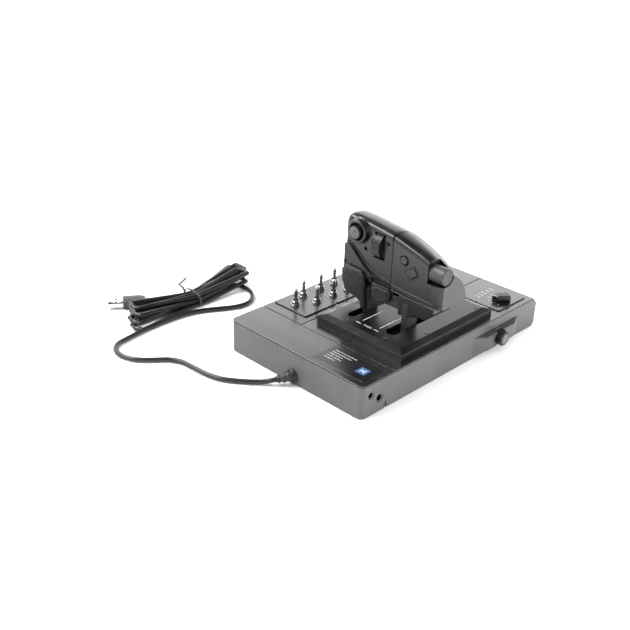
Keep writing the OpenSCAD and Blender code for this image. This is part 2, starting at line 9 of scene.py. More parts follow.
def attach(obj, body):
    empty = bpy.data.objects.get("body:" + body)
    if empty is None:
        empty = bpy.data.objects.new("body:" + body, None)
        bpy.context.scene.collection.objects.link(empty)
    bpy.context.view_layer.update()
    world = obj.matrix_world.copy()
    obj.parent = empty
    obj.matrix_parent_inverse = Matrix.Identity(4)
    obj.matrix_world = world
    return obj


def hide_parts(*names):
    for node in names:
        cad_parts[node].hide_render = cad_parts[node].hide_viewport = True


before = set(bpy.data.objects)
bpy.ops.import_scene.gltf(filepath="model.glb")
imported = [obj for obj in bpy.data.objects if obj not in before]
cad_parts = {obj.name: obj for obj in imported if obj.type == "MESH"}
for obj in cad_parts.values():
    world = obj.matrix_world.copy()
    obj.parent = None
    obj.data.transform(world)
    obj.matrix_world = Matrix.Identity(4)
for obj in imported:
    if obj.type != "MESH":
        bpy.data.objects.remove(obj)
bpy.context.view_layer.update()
mm = 0.001


def addObject(name, data):
    made = bpy.data.objects.new(name, data)
    bpy.context.scene.collection.objects.link(made)
    return made


def toMesh(bm, name):
    mesh = bpy.data.meshes.new(name)
    bm.to_mesh(mesh)
    bm.free()
    return mesh


# camera first, because it decides what the lead must look like

view = {
    "place": (-0.47788, 0.58949, 0.40938),
    "azimuth": 224.057,
    "elevation": 27.252,
    "roll": 1.859,
    "lens": 53.79,
}


def addCamera():
    camera = addObject("camera", bpy.data.cameras.new("camera"))
    turn = Matrix.Rotation(math.radians(view["azimuth"]), 4, "Z")
    tilt = Matrix.Rotation(math.radians(90 - view["elevation"]), 4, "X")
    roll = Matrix.Rotation(math.radians(view["roll"]), 4, "Z")
    camera.matrix_world = Matrix.Translation(view["place"]) @ turn @ tilt @ roll
    camera.data.lens = view["lens"]
    camera.data.sensor_width = 36
    camera.data.clip_start = 0.01
    bpy.context.scene.camera = camera


addCamera()
print("camera set")


# materials: a broad noise shifts colour and roughness, a fine one makes the grain

looks = {
    "base_shell": {
        "dark": (0.080, 0.081, 0.084), "light": (0.098, 0.099, 0.102), "metal": 0.30,
        "rough": (0.36, 0.46), "grain": 2600, "bump": 0.10,
    },
    "deck_panel": {
        "dark": (0.165, 0.166, 0.170), "light": (0.195, 0.196, 0.200), "metal": 1.0,
        "rough": (0.23, 0.28), "grain": 900, "bump": 0.030, "stretch": (0.05, 1, 1),
    },
    "gate_panel": {
        "dark": (0.074, 0.075, 0.077), "light": (0.092, 0.093, 0.095), "metal": 1.0,
        "rough": (0.29, 0.34), "grain": 2400, "bump": 0.05,
    },
    "badge": {
        "dark": (0.125, 0.126, 0.130), "light": (0.150, 0.151, 0.155), "metal": 1.0,
        "rough": (0.23, 0.28), "grain": 2000, "bump": 0.03,
    },
    "black_plastic": {
        "dark": (0.012, 0.012, 0.013), "light": (0.022, 0.022, 0.024),
        "rough": (0.36, 0.46), "grain": 3200, "bump": 0.12,
    },
    "grip_plastic": {
        "dark": (0.004, 0.004, 0.0045), "light": (0.008, 0.008, 0.0085), "coat": 0.25,
        "rough": (0.32, 0.40), "grain": 3400, "bump": 0.08,
    },
    "grey_plastic": {
        "dark": (0.028, 0.028, 0.030), "light": (0.042, 0.042, 0.044), "metal": 0.1,
        "rough": (0.38, 0.48), "grain": 3200, "bump": 0.08,
    },
    "rubber": {
        "dark": (0.008, 0.008, 0.008), "light": (0.015, 0.015, 0.015),
        "rough": (0.75, 0.9), "grain": 1800, "bump": 0.2,
    },
    "chrome": {
        "dark": (0.62, 0.62, 0.63), "light": (0.74, 0.74, 0.75), "metal": 1.0,
        "rough": (0.10, 0.17), "grain": 1600, "bump": 0.03, "stretch": (1, 1, 0.1),
    },
    "nickel": {
        "dark": (0.36, 0.35, 0.33), "light": (0.50, 0.49, 0.46), "metal": 1.0,
        "rough": (0.18, 0.28), "grain": 1800, "bump": 0.05,
    },
    "steel": {
        "dark": (0.16, 0.16, 0.165), "light": (0.24, 0.24, 0.245), "metal": 1.0,
        "rough": (0.25, 0.35), "grain": 1800, "bump": 0.06,
    },
    "bronze": {
        "dark": (0.42, 0.26, 0.12), "light": (0.56, 0.36, 0.17), "metal": 1.0,
        "rough": (0.30, 0.40), "grain": 1500, "bump": 0.06,
    },
    "felt": {
        "dark": (0.26, 0.20, 0.13), "light": (0.40, 0.32, 0.22),
        "rough": (0.85, 0.97), "grain": 4200, "bump": 0.5,
    },
    "lever_alloy": {
        "dark": (0.050, 0.050, 0.052), "light": (0.080, 0.080, 0.083), "metal": 0.6,
        "rough": (0.32, 0.42), "grain": 1500, "bump": 0.08,
    },
    "circuit_board": {
        "dark": (0.010, 0.050, 0.022), "light": (0.020, 0.085, 0.036),
        "rough": (0.40, 0.50), "grain": 900, "bump": 0.06,
    },
    "lead_pvc": {
        "dark": (0.008, 0.008, 0.009), "light": (0.016, 0.016, 0.017),
        "rough": (0.28, 0.36), "grain": 1900, "bump": 0.10,
    },
    "tie_wire": {
        "dark": (0.035, 0.035, 0.036), "light": (0.065, 0.065, 0.067),
        "rough": (0.5, 0.6), "grain": 2200, "bump": 0.15,
    },
    "white_print": {
        "dark": (0.55, 0.55, 0.56), "light": (0.72, 0.72, 0.73),
        "rough": (0.5, 0.6), "grain": 3000, "bump": 0.05,
    },
    "blue_print": {
        "dark": (0.020, 0.070, 0.190), "light": (0.030, 0.095, 0.250),
        "rough": (0.4, 0.5), "grain": 3000, "bump": 0.05,
    },
    # near-black used as painted shade: liners and sheets laid in holes, slots, seams and gaps so they read
    # dark; it is also the colour of the side fairing ribs
    "painted_shade_and_rib_black": {
        "dark": (0.003, 0.003, 0.003), "light": (0.006, 0.006, 0.006),
        "rough": (0.6, 0.75), "grain": 2400, "bump": 0.1,
    },
    "grip_panel": {
        "dark": (0.012, 0.012, 0.013), "light": (0.018, 0.018, 0.019),
        "rough": (0.34, 0.42), "grain": 3400, "bump": 0.08,
    },
    # lighter copy of the grip plastic: painted light on the outer grip's end face, making it lighter than the
    # rest of the grip
    "grip_end_painted_light": {
        "dark": (0.036, 0.036, 0.038), "light": (0.048, 0.048, 0.050),
        "rough": (0.38, 0.46), "grain": 3400, "bump": 0.08,
    },
    "grey_face": {
        "dark": (0.10, 0.10, 0.103), "light": (0.14, 0.14, 0.144), "metal": 0.1,
        "rough": (0.42, 0.52), "grain": 2600, "bump": 0.15,
    },
}


def addNode(tree, kind, source=None, target="Vector", **values):
    node = tree.nodes.new("ShaderNode" + kind)
    for socket, value in values.items():
        node.inputs[socket.replace("_", " ")].default_value = value
    if source:
        tree.links.new(source, node.inputs[target])
    return node


def rampOf(tree, source, stops):
    ramp = addNode(tree, "ValToRGB", source, "Fac")
    elements = ramp.color_ramp.elements
    elements[0].position, elements[0].color = stops[0]
    elements[1].position, elements[1].color = stops[-1]
    for position, colour in stops[1:-1]:
        elements.new(position).color = colour
    return ramp.outputs["Color"]


def makeMaterial(name, look):
    material = bpy.data.materials.new(name)
    material.use_nodes = True
    tree = material.node_tree
    shader = tree.nodes["Principled BSDF"]
    shader.inputs["Metallic"].default_value = look.get("metal", 0)
    shader.inputs["Coat Weight"].default_value = look.get("coat", 0)
    shader.inputs["Coat Roughness"].default_value = 0.22
    own = addNode(tree, "TexCoord").outputs["Object"]
    mapped = addNode(tree, "Mapping", own, Scale=look.get("stretch", (1, 1, 1))).outputs["Vector"]
    broad = addNode(tree, "TexNoise", mapped, Scale=38, Detail=5).outputs["Fac"]
    colour = rampOf(tree, broad, [(0.35, look["dark"] + (1,)), (0.65, look["light"] + (1,))])
    tree.links.new(colour, shader.inputs["Base Color"])
    low, high = look["rough"]
    spread = addNode(tree, "MapRange", broad, "Value", From_Min=0.3, From_Max=0.7, To_Min=low, To_Max=high)
    tree.links.new(spread.outputs["Result"], shader.inputs["Roughness"])
    fine = addNode(tree, "TexNoise", mapped, Scale=look["grain"], Detail=3).outputs["Fac"]
    bump = addNode(tree, "Bump", fine, "Height", Strength=look["bump"], Distance=0.0002)
    tree.links.new(bump.outputs["Normal"], shader.inputs["Normal"])
    return material


materials = {name: makeMaterial(name, look) for name, look in looks.items()}

nodeLooks = {
    "rubber_mat": "rubber", "main_board": "circuit_board", "sensor_boards": "circuit_board",
    "pivot_blocks": "black_plastic", "friction_pads": "felt", "axle": "steel", "inner_bush": "bronze",
    "outer_bush": "bronze", "inner_magnet": "steel", "outer_magnet": "steel", "wheel_axle": "steel",
    "slew_gimbal": "steel", "inner_arm": "lever_alloy", "outer_arm": "lever_alloy",
    "selector_switch": "steel", "inner_screws": "steel", "outer_screws": "steel", "base_screws": "steel",
}
for name, look in nodeLooks.items():
    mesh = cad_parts[name].data
    mesh.materials.clear()
    mesh.materials.append(materials[look])
print("materials made:", len(materials))


# shape helpers, in millimetres until a piece is finished

def place(axis, a, b, c):
    if axis == "x":
        return Vector((c, a, b))
    if axis == "y":
        return Vector((a, c, b))
    return Vector((a, b, c))


def prism(bm, outline, low, high, axis="z"):
    corners = [bm.verts.new(place(axis, a, b, low)) for a, b in outline]
    face = bm.faces.new(corners)
    raised = bmesh.ops.extrude_face_region(bm, geom=[face])["geom"]
    moved = [part for part in raised if isinstance(part, bmesh.types.BMVert)]
    bmesh.ops.translate(bm, vec=place(axis, 0, 0, high - low), verts=moved)
    return corners + moved


def rounded(x0, y0, x1, y1, radius, steps=5):
    outline = []
    for cx, cy, start in (
        (x1 - radius, y1 - radius, 0), (x0 + radius, y1 - radius, 90),
        (x0 + radius, y0 + radius, 180), (x1 - radius, y0 + radius, 270),
    ):
        for i in range(steps + 1):
            angle = math.radians(start + 90 * i / steps)
            outline.append((cx + radius * math.cos(angle), cy + radius * math.sin(angle)))
    return outline


def circle(cx, cy, radius, count=32, start=0.0):
    angles = [start + 2 * math.pi * i / count for i in range(count)]
    return [(cx + radius * math.cos(a), cy + radius * math.sin(a)) for a in angles]


def lathe(bm, profile, centre, axis="z", steps=32, closed=False):
    middle = Vector(centre)
    along = place(axis, 0, 0, 1)
    side = place(axis, 1, 0, 0)
    spots = [bm.verts.new(middle + side * radius + along * height) for radius, height in profile]
    edges = [bm.edges.new(pair) for pair in zip(spots, spots[1:])]
    if closed:
        edges.append(bm.edges.new((spots[-1], spots[0])))
    bmesh.ops.spin(
        bm, geom=spots + edges, cent=middle, axis=along, angle=2 * math.pi, steps=steps, use_merge=True
    )
    bmesh.ops.remove_doubles(bm, verts=bm.verts, dist=1e-4)


def ringed(bm, rings, capped=True):
    loops = []
    for ring in rings:
        spots = [bm.verts.new(point) for point in ring]
        edges = [bm.edges.new((spots[i - 1], spots[i])) for i in range(len(spots))]
        loops.append((spots, edges))
    for first, second in zip(loops, loops[1:]):
        bmesh.ops.bridge_loops(bm, edges=first[1] + second[1])
    if capped:
        bm.faces.new(loops[0][0])
        bm.faces.new(loops[-1][0])


def smoothLine(points, steps=8):
    spots = [Vector(point) for point in points]
    line = []
    for i in range(len(spots) - 1):
        before = spots[max(i - 1, 0)]
        start = spots[i]
        end = spots[i + 1]
        after = spots[min(i + 2, len(spots) - 1)]
        for k in range(steps):
            t = k / steps
            bend = (end - before) * t
            bend += (2 * before - 5 * start + 4 * end - after) * t * t
            bend += (3 * start - before - 3 * end + after) * t * t * t
            line.append(start + bend * 0.5)
    line.append(spots[-1])
    return line


def headingAt(path, i):
    return (path[min(i + 1, len(path) - 1)] - path[max(i - 1, 0)]).normalized()


def sweep(bm, path, section, facing):
    rings = []
    for i, point in enumerate(path):
        heading = headingAt(path, i)
        side = heading.cross(Vector(facing)).normalized()
        out = side.cross(heading)
        rings.append([point + side * a + out * b for a, b in section])
    ringed(bm, rings)


def hold(bm):
    bmesh.ops.recalc_face_normals(bm, faces=bm.faces)
    return addObject("held", toMesh(bm, "held"))


def carve(bm, tools, operation="DIFFERENCE"):
    kept = hold(bm)
    cutters = [hold(tool) for tool in tools]
    for cutter in cutters:
        step = kept.modifiers.new("carve", "BOOLEAN")
        step.operation = operation
        step.solver = "EXACT"
        step.object = cutter
    bpy.context.view_layer.update()
    result = bmesh.new()
    result.from_object(kept, bpy.context.evaluated_depsgraph_get())
    for used in cutters + [kept]:
        mesh = used.data
        bpy.data.objects.remove(used)
        bpy.data.meshes.remove(mesh)
    return result


def shape(make, *values, **named):
    bm = bmesh.new()
    make(bm, *values, **named)
    return bm


def absorb(bm, other):
    mesh = toMesh(other, "part")
    bm.from_mesh(mesh)
    bpy.data.meshes.remove(mesh)


def finishPiece(name, bm, look, body, nodes=(), edge=0.0, sharp=32, turns=2, weighted=False):
    bmesh.ops.remove_doubles(bm, verts=bm.verts, dist=1e-4)
    bmesh.ops.recalc_face_normals(bm, faces=bm.faces)
    bmesh.ops.scale(bm, vec=(mm, mm, mm), verts=bm.verts)
    return dressPiece(name, toMesh(bm, name), look, body, nodes, edge, sharp, turns, weighted)


def dressPiece(name, mesh, look, body, nodes, edge, sharp, turns, weighted=False):
    mesh.materials.clear()
    mesh.materials.append(materials[look])
    mesh.polygons.foreach_set("use_smooth", [True] * len(mesh.polygons))
    mesh.set_sharp_from_angle(angle=math.radians(sharp))
    piece = addObject(name, mesh)
    if edge:
        soft = piece.modifiers.new("soft edges", "BEVEL")
        soft.width = edge * mm
        soft.segments = turns
        soft.limit_method = "ANGLE"
        soft.angle_limit = math.radians(sharp)
        soft.harden_normals = True
        soft.use_clamp_overlap = True
    if weighted:
        flat = piece.modifiers.new("flat faces", "WEIGHTED_NORMAL")
        flat.keep_sharp = True
        flat.weight = 80
    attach(piece, body)
    if nodes:
        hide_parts(*nodes)
    return piece


def softenNode(node, look, edge):
    bm = bmesh.new()
    bm.from_mesh(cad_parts[node].data)
    bmesh.ops.remove_doubles(bm, verts=bm.verts, dist=1e-6)
    flat = math.radians(1)
    bmesh.ops.dissolve_limit(bm, angle_limit=flat, verts=bm.verts, edges=bm.edges)
    bmesh.ops.recalc_face_normals(bm, faces=bm.faces)
    name = node + "_softened"
    dressPiece(name, toMesh(bm, name), look, "base", [node], edge, 28, 2)


# lead: strain relief to hank to plug, one line; a start point without a height lies on the floor

lead = {"radius": 2.2, "floor": 2.25, "waist": (171, 88), "straight": 8, "turn": 7, "seed": 7}
leadStart = [
    (6, 129.9, 5.6), (9, 134.15, 4.6), (13, 138, 3.2), (18, 142.5, 2.4), (24.5, 148.5), (34, 156.3),
    (43, 161.6), (54, 165), (65, 166.3), (76, 167), (86, 168), (92.5, 171), (98.5, 175.7), (106, 185),
    (115, 194), (124, 198.4), (132.5, 199.8), (140, 198.3), (146, 194), (149.5, 188), (151, 180),
    (152.5, 171), (154, 161), (155, 150), (155.6, 139), (155.6, 128), (155.2, 118), (154, 108), (151, 98),
    (147, 89.5), (142.8, 81.7), (139, 75), (135.5, 68), (133, 60), (133, 52), (135.6, 45), (141, 38.6),
    (149, 33.6), (157, 31.6), (162, 31.2), (168, 32), (172, 36), (173.5, 43), (172, 56),
]
leadEnd = [
    (181.5, 101, 5), (186, 105, 3), (189.4, 108, 2.4), (192, 111, 3.2), (193.8, 118.3, 4.2),
    (196, 121.6, 4.2), (198.2, 124.9, 4.2),
]
strands = [
    (-4.5, 2.25), (-9, 2.25), (0, 2.25), (4.5, 2.25), (9, 2.25), (6.75, 6.15), (2.25, 6.15),
    (-2.25, 6.15), (-6.75, 6.15), (-4.5, 10.05), (0, 10.05), (4.5, 10.05), (8, 7.5),
]
endTurns = [
    ((163, 156), 2.3, -1), ((171, 32), 6.7, 1), ((181, 143), 2.3, 1), ((184, 26), 4.6, 1),
    ((190, 137), 6.6, -1), ((190, 24), 8.8, -1), ((168, 153), 6.7, -1), ((176, 29), 11, -1),
    ((173, 150), 10.6, 1), ((171, 31), 14.2, 1), ((184, 142), 10.8, 1), ((184, 25), 12.9, 1),
]


def leadLine():
    chance = random.Random(lead["seed"])
    points = [(spot + (lead["floor"],))[:3] for spot in leadStart]
    for number, (shift, height) in enumerate(strands):
        outward = 1 if number % 2 == 0 else -1
        x = lead["waist"][0] + shift
        y = lead["waist"][1]
        points.append((x, y - outward * lead["straight"], height))
        if number == len(strands) - 1:
            points.append((x, y, height))
            break
        points.append((x, y + outward * lead["straight"], height))
        (cx, cy), level, across = endTurns[number]
        cx += chance.uniform(-1, 1)
        cy += chance.uniform(-2.5, 2.5)
        radius = lead["turn"] + chance.uniform(-0.8, 0.8)
        for step in range(5):
            angle = math.pi * step / 4
            points.append((
                cx - across * radius * math.cos(angle), cy + outward * radius * math.sin(angle), level
            ))
    return smoothLine(points + leadEnd, 7)


def addLead():
    line = leadLine()
    curve = bpy.data.curves.new("lead", "CURVE")
    curve.dimensions = "3D"
    curve.bevel_depth = lead["radius"] * mm
    curve.bevel_resolution = 3
    curve.use_fill_caps = True
    spline = curve.splines.new("POLY")
    spline.points.add(len(line) - 1)
    for spot, point in zip(spline.points, line):
        spot.co = (point.x * mm, point.y * mm, point.z * mm, 1)
    spline.use_smooth = True
    curve.materials.append(materials["lead_pvc"])
    piece = addObject("lead", curve)
    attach(piece, "base")
    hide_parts("cord_tube", "cord_hank", "cord_tail")
    length = sum((b - a).length for a, b in zip(line, line[1:])) * mm
    print("lead length in metres:", round(length, 3))
    return piece, length


leadPiece, leadLength = addLead()


# plug on the end of the lead

plug = {
    "place": (193.8, 118.3, 4.2), "turn": 56.3, "body": (7.4, 28.6), "half": (7.6, 4.1),
    "shell": (28.6, 42.6), "metal": (6, 2.25), "ridges": 5,
}


def addPlug():
    neck = bmesh.new()
    profile = [(0, -1.5), (2.7, -1.5)]
    for i in range(4):
        profile += [(3.0 + i * 0.25, -1.0 + i * 2.2), (3.0 + i * 0.25, 0.3 + i * 2.2), (2.6, 0.5 + i * 2.2)]
        profile += [(2.6, 1.0 + i * 2.2)]
    profile += [(3.4, 8.4), (0, 8.4)]
    lathe(neck, profile, (0, 0, 0), "x", 24)

    block = bmesh.new()
    low, high = plug["body"]
    wide, tall = plug["half"]
    rings = []
    for x, shrink in (
        (low, 0.72), (low + 1, 0.86), (low + 4, 0.98), (low + 6, 1.0), (high - 1.2, 1.0), (high, 0.93),
    ):
        outline = rounded(-wide * shrink, -tall * shrink, wide * shrink, tall * shrink, 1.8, 4)
        rings.append([Vector((x, a, b)) for a, b in outline])
    ringed(block, rings)
    for i in range(plug["ridges"]):
        x = low + 5.5 + i * 2.4
        for side in (-1, 1):
            prism(block, rounded(x, side * wide - 0.35, x + 1.1, side * wide + 0.35, 0.3, 3), -2.4, 2.4)

    shell = bmesh.new()
    low, high = plug["shell"]
    wide, tall = plug["metal"]
    prism(shell, rounded(-wide, -tall, wide, tall, 0.5, 3), low, high, "x")
    inner = shape(
        prism, rounded(-wide + 0.35, -tall + 0.35, wide - 0.35, tall - 0.35, 0.3, 3), low + 1, high + 1,
        "x",
    )
    holes = bmesh.new()
    for side in (-1, 1):
        prism(holes, rounded(low + 5.4, side * 2.8 - 1.1, low + 7.6, side * 2.8 + 1.1, 0.25, 2), -3, 3)
    shell = carve(shell, [inner, holes])

    insert = shape(prism, rounded(-5.2, -0.4, 5.2, 1.6, 0.2, 2), low + 1, high - 0.8, "x")

    contacts = bmesh.new()
    for y in (-3.5, -1, 1, 3.5):
        prism(contacts, rounded(low + 6, y - 0.5, high - 1.4, y + 0.5, 0.2, 2), -0.62, -0.3)

    turned = Matrix.Translation(plug["place"]) @ Matrix.Rotation(math.radians(plug["turn"]), 4, "Z")
    made = []
    for name, bm, look, nodes, edge, sharp in (
        ("plug_neck", neck, "black_plastic", (), 0, 40),
        ("plug_overmould", block, "black_plastic", ["plug_body"], 0, 34),
        ("plug_metal_shell", shell, "chrome", ["plug_shell"], 0.12, 40),
        ("plug_insert", insert, "black_plastic", (), 0.1, 32),
        ("plug_contacts", contacts, "nickel", (), 0.05, 32),
    ):
        bm.transform(turned)
        made.append(finishPiece(name, bm, look, "base", nodes, edge, sharp))
    return made


def addTie():
    tie = bmesh.new()
    loop = [
        (159.6, 88, 1.4), (159.0, 88.2, 5), (160.6, 88.4, 10.2), (165, 88.6, 13.0), (171, 88.8, 13.8),
        (178, 89, 13.2), (182.6, 88.9, 10.2), (183.8, 88.5, 6), (183.2, 88.1, 1.6), (177, 88, 0.6),
        (166, 88, 0.6), (160.8, 88, 0.7),
    ]
    band = [
        (-1.2, -0.25), (-0.6, -0.25), (-0.45, -0.6), (0.45, -0.6), (0.6, -0.25), (1.2, -0.25),
        (1.2, 0.1), (-1.2, 0.1),
    ]
    line = smoothLine(loop, 6)
    rings = []
    middle = Vector((171, 88.4, 7))
    for i, point in enumerate(line):
        heading = headingAt(line, i)
        out = point - middle
        out -= heading * out.dot(heading)
        out.normalize()
        side = heading.cross(out)
        rings.append([point + side * a - out * b for a, b in band])
    ringed(tie, rings)
    tail = [
        (183, 88.6, 8.5), (188, 87.6, 10.6), (194, 86, 10.2), (198.6, 84, 8.6), (200, 80.5, 8.8),
        (202, 75, 9.6), (204, 70.5, 10),
    ]
    wire = [(-1.1, -0.25), (-0.35, -0.6), (0.35, -0.6), (1.1, -0.25), (1.1, 0.25), (-1.1, 0.25)]
    sweep(tie, smoothLine(tail, 5), wire, (0, 0, 1))
    return finishPiece("twist_tie", tie, "tie_wire", "base", ["cord_tie"], sharp=50)


plugPieces = addPlug()
tiePiece = addTie()
print("lead, plug and tie made")


# base, deck and gate

softened = {
    "base_shell": ("base_shell", "base_shell", 0.45),
    "gate_plate": ("gate_panel", "gate_panel", 0.6),
    "toggle_plate_front": ("deck_panel", "deck_panel", 0.3),
    "toggle_plate_rear": ("deck_panel", "deck_panel", 0.3),
    "selector_plate": ("deck_panel", "deck_panel", 0.3),
}
for node, (look, slotName, edge) in softened.items():
    softenNode(node, look, edge)


deck = {
    "half": 77.5, "front": 120.2, "back": -113.9, "corner": 5, "top": 30.4, "flange": 0.6, "gap": 0.45,
    "seamY": 82.5, "rightX": 29, "leftX": -18, "inset": 1.4, "shadeLow": 28.4,
    "slots": [(-4.6, -33, 9.6, 53.5), (-50.4, -33, -32.6, 53.5)],
}
toggles = [(59.5, 59.7), (67.4, 42), (50.3, 41.7), (66.8, 20.4), (50.3, 20.4), (67.6, 1.5), (50.3, 1.5)]


def deckHoles():
    holes = [shape(prism, rounded(*slot, 1, 2), 25, 33) for slot in deck["slots"]]
    holes += [shape(prism, circle(x, y, 3.25, 28), 25, 33) for x, y in toggles]
    holes.append(shape(prism, circle(-60.5, -86.5, 5, 28), 25, 33))
    return holes


def addDecks():
    half = deck["half"]
    gap = deck["gap"]
    low = deck["top"] - deck["flange"]
    seam = deck["seamY"] - gap
    back = deck["back"]
    cover = rounded(-half, deck["seamY"] + gap, half, deck["front"], deck["corner"], 8)
    corners = [(x, y) for x, y in cover if y > deck["front"] - deck["corner"] - 0.01]
    corners += [(-half, deck["seamY"] + gap), (half, deck["seamY"] + gap)]
    plates = {
        "front_cover": corners,
        "right_deck": [
            (deck["rightX"] + gap, back), (half, back), (half, seam), (deck["rightX"] + gap, seam),
        ],
        "centre_deck": [
            (deck["leftX"] + gap, back), (deck["rightX"] - gap, back), (deck["rightX"] - gap, seam),
            (deck["leftX"] + gap, seam),
        ],
        "left_deck": [(-half, back), (deck["leftX"] - gap, back), (deck["leftX"] - gap, seam), (-half, seam)],
    }
    for node, outline in plates.items():
        plate = shape(prism, outline, low, deck["top"])
        if node != "front_cover":
            plate = carve(plate, deckHoles())
        finishPiece(node + "_plate", plate, "deck_panel", "base", [node], 0.14, 30)
    inset = deck["inset"]
    # near-black sheet under the deck plates: painted shade, so the seams between the plates read as dark gaps
    seamShade = shape(
        prism, rounded(-half + inset, back + 0.2, half - inset, deck["front"] - inset, 3.6, 5),
        deck["shadeLow"], low - 0.02,
    )
    seamShade = carve(seamShade, deckHoles())
    finishPiece("deck_seam_shade", seamShade, "painted_shade_and_rib_black", "base", sharp=30)


addDecks()
print("base panels made")


gatePrint = {
    "top": 38.2, "lift": 0.06, "lines": [(-11.3, 48.5, -11.3, 20), (-30.6, 48.4, -30.6, 15)],
    "dashes": [(-8.7, 53.7, -14.1, 53.7), (-28.1, 53.5, -33.6, 53.5)], "width": 0.55,
    "marks": (-17.8, 1.5, 6, 53.5),
}


def bar(bm, x0, y0, x1, y1, width, low, high):
    ahead = Vector((x1 - x0, y1 - y0)).normalized() * width / 2
    outline = [
        (x0 - ahead.y, y0 + ahead.x), (x0 + ahead.y, y0 - ahead.x),
        (x1 + ahead.y, y1 - ahead.x), (x1 - ahead.y, y1 + ahead.x),
    ]
    prism(bm, outline, low, high)


def addGatePrint():
    bm = bmesh.new()
    low = gatePrint["top"] - 0.1
    high = gatePrint["top"] + gatePrint["lift"]
    for line in gatePrint["lines"] + gatePrint["dashes"]:
        bar(bm, *line, gatePrint["width"], low, high)
    start, pitch, count, y = gatePrint["marks"]
    for i in range(count):
        x = start - i * pitch
        tall = 0.9 if i % 3 else 1.3
        bar(bm, x, y - tall, x, y + tall, 0.5, low, high)
        if i % 2 == 0:
            bar(bm, x, y + tall - 0.3, x - 0.9, y + tall - 0.3, 0.5, low, high)
    finishPiece("gate_print", bm, "white_print", "base")


addGatePrint()


badge = {
    "box": (-71.8, 88.2, -17.2, 113.8), "top": 30.52, "rows": [92.2, 95.6, 99, 102.4, 105.8],
    "square": (-60.2, 101.4, 9.6),
}


def addBadge():
    x0, y0, x1, y1 = badge["box"]
    plate = shape(prism, rounded(x0, y0, x1, y1, 0.8, 3), 29.95, badge["top"])
    finishPiece("badge_label", plate, "badge", "base", ["badge_plate"], 0.1)
    top = badge["top"]
    # thin dark line on the deck around the foot of the badge: painted shade at the badge's edge
    edgeShade = bmesh.new()
    for line in ((x0, y0, x1, y0), (x0, y1, x1, y1), (x0, y0, x0, y1), (x1, y0, x1, y1)):
        bar(edgeShade, *line, 0.5, 30.3, 30.44)
    finishPiece("badge_edge_shade", edgeShade, "painted_shade_and_rib_black", "base")
    words = bmesh.new()
    chance = random.Random(3)
    for row, y in enumerate(badge["rows"]):
        x = -22.5
        end = -46 + 3.2 * row + (4 if row == 2 else 0)
        while x > end:
            size = chance.choice((0.8, 1.1, 1.4))
            bar(words, x, y - 0.55, x, y + 0.55, 0.35, top - 0.1, top + 0.05)
            bar(
                words, x, y + (0.4 if size > 1 else -0.4), x - size, y + (0.4 if size > 1 else -0.4),
                0.3, top - 0.1, top + 0.05,
            )
            x -= size + 0.7
    finishPiece("badge_rows", words, "white_print", "base")
    cx, cy, size = badge["square"]
    half = size / 2
    blue = shape(prism, rounded(cx - half, cy - half, cx + half, cy + half, 0.6, 3), top - 0.1, top + 0.05)
    finishPiece("badge_square", blue, "blue_print", "base")
    glyph = bmesh.new()
    for turn in range(2):
        lean = 2.6 if turn else -2.6
        bar(glyph, cx - 2.6, cy - lean, cx + 2.6, cy + lean, 0.7, top, top + 0.09)
    bar(glyph, cx - 3, cy, cx + 3, cy, 0.7, top, top + 0.09)
    finishPiece("badge_mark", glyph, "white_print", "base")


addBadge()


selector = {"centre": (-60.5, -86.5), "turn": 50, "low": 31.7, "high": 37.1, "plateTop": 31.5}


def addSelector():
    cx, cy = selector["centre"]
    knob = bmesh.new()
    rings = []
    low = selector["low"]
    high = selector["high"]
    outline = [(9, 0), (5, 4), (-6.8, 4), (-8.2, 2.6), (-8.2, -2.6), (-6.8, -4), (5, -4)]
    for z, size in ((low, 0.95), (low + 0.4, 1.0), (high - 1.0, 0.98), (high, 0.86)):
        rings.append([Vector((a * size, b * size, z)) for a, b in outline])
    ringed(knob, rings)
    lathe(knob, [(0, 22), (2, 22), (2, low + 1), (0, low + 1)], (0, 0, 0), "z", 24)
    knob.transform(Matrix.Translation((cx, cy, 0)) @ Matrix.Rotation(math.radians(selector["turn"]), 4, "Z"))
    finishPiece(
        "selector_pointer", knob, "gate_panel", "selector", ["selector_knob"], 0.45, 20,
    )
    top = selector["plateTop"]
    marks = bmesh.new()
    for i in range(5):
        angle = math.radians(-10 + 30 * i)
        a = Vector((math.cos(angle), math.sin(angle)))
        bar(
            marks, cx + a.x * 10.6, cy + a.y * 10.6, cx + a.x * 12.4, cy + a.y * 12.4, 0.5, top - 0.1,
            top + 0.05,
        )
    for i in range(5):
        bar(marks, -43.5, -98 + 5.4 * i, -37.5 - (i % 2), -98 + 5.4 * i, 0.5, top - 0.1, top + 0.05)
        bar(marks, -43.5, -99.2 + 5.4 * i, -43.5, -96.8 + 5.4 * i, 0.4, top - 0.1, top + 0.05)
    finishPiece("selector_marks", marks, "white_print", "base")


addSelector()
print("gate print, badge and selector made")


# toggles

nutFlats = 7


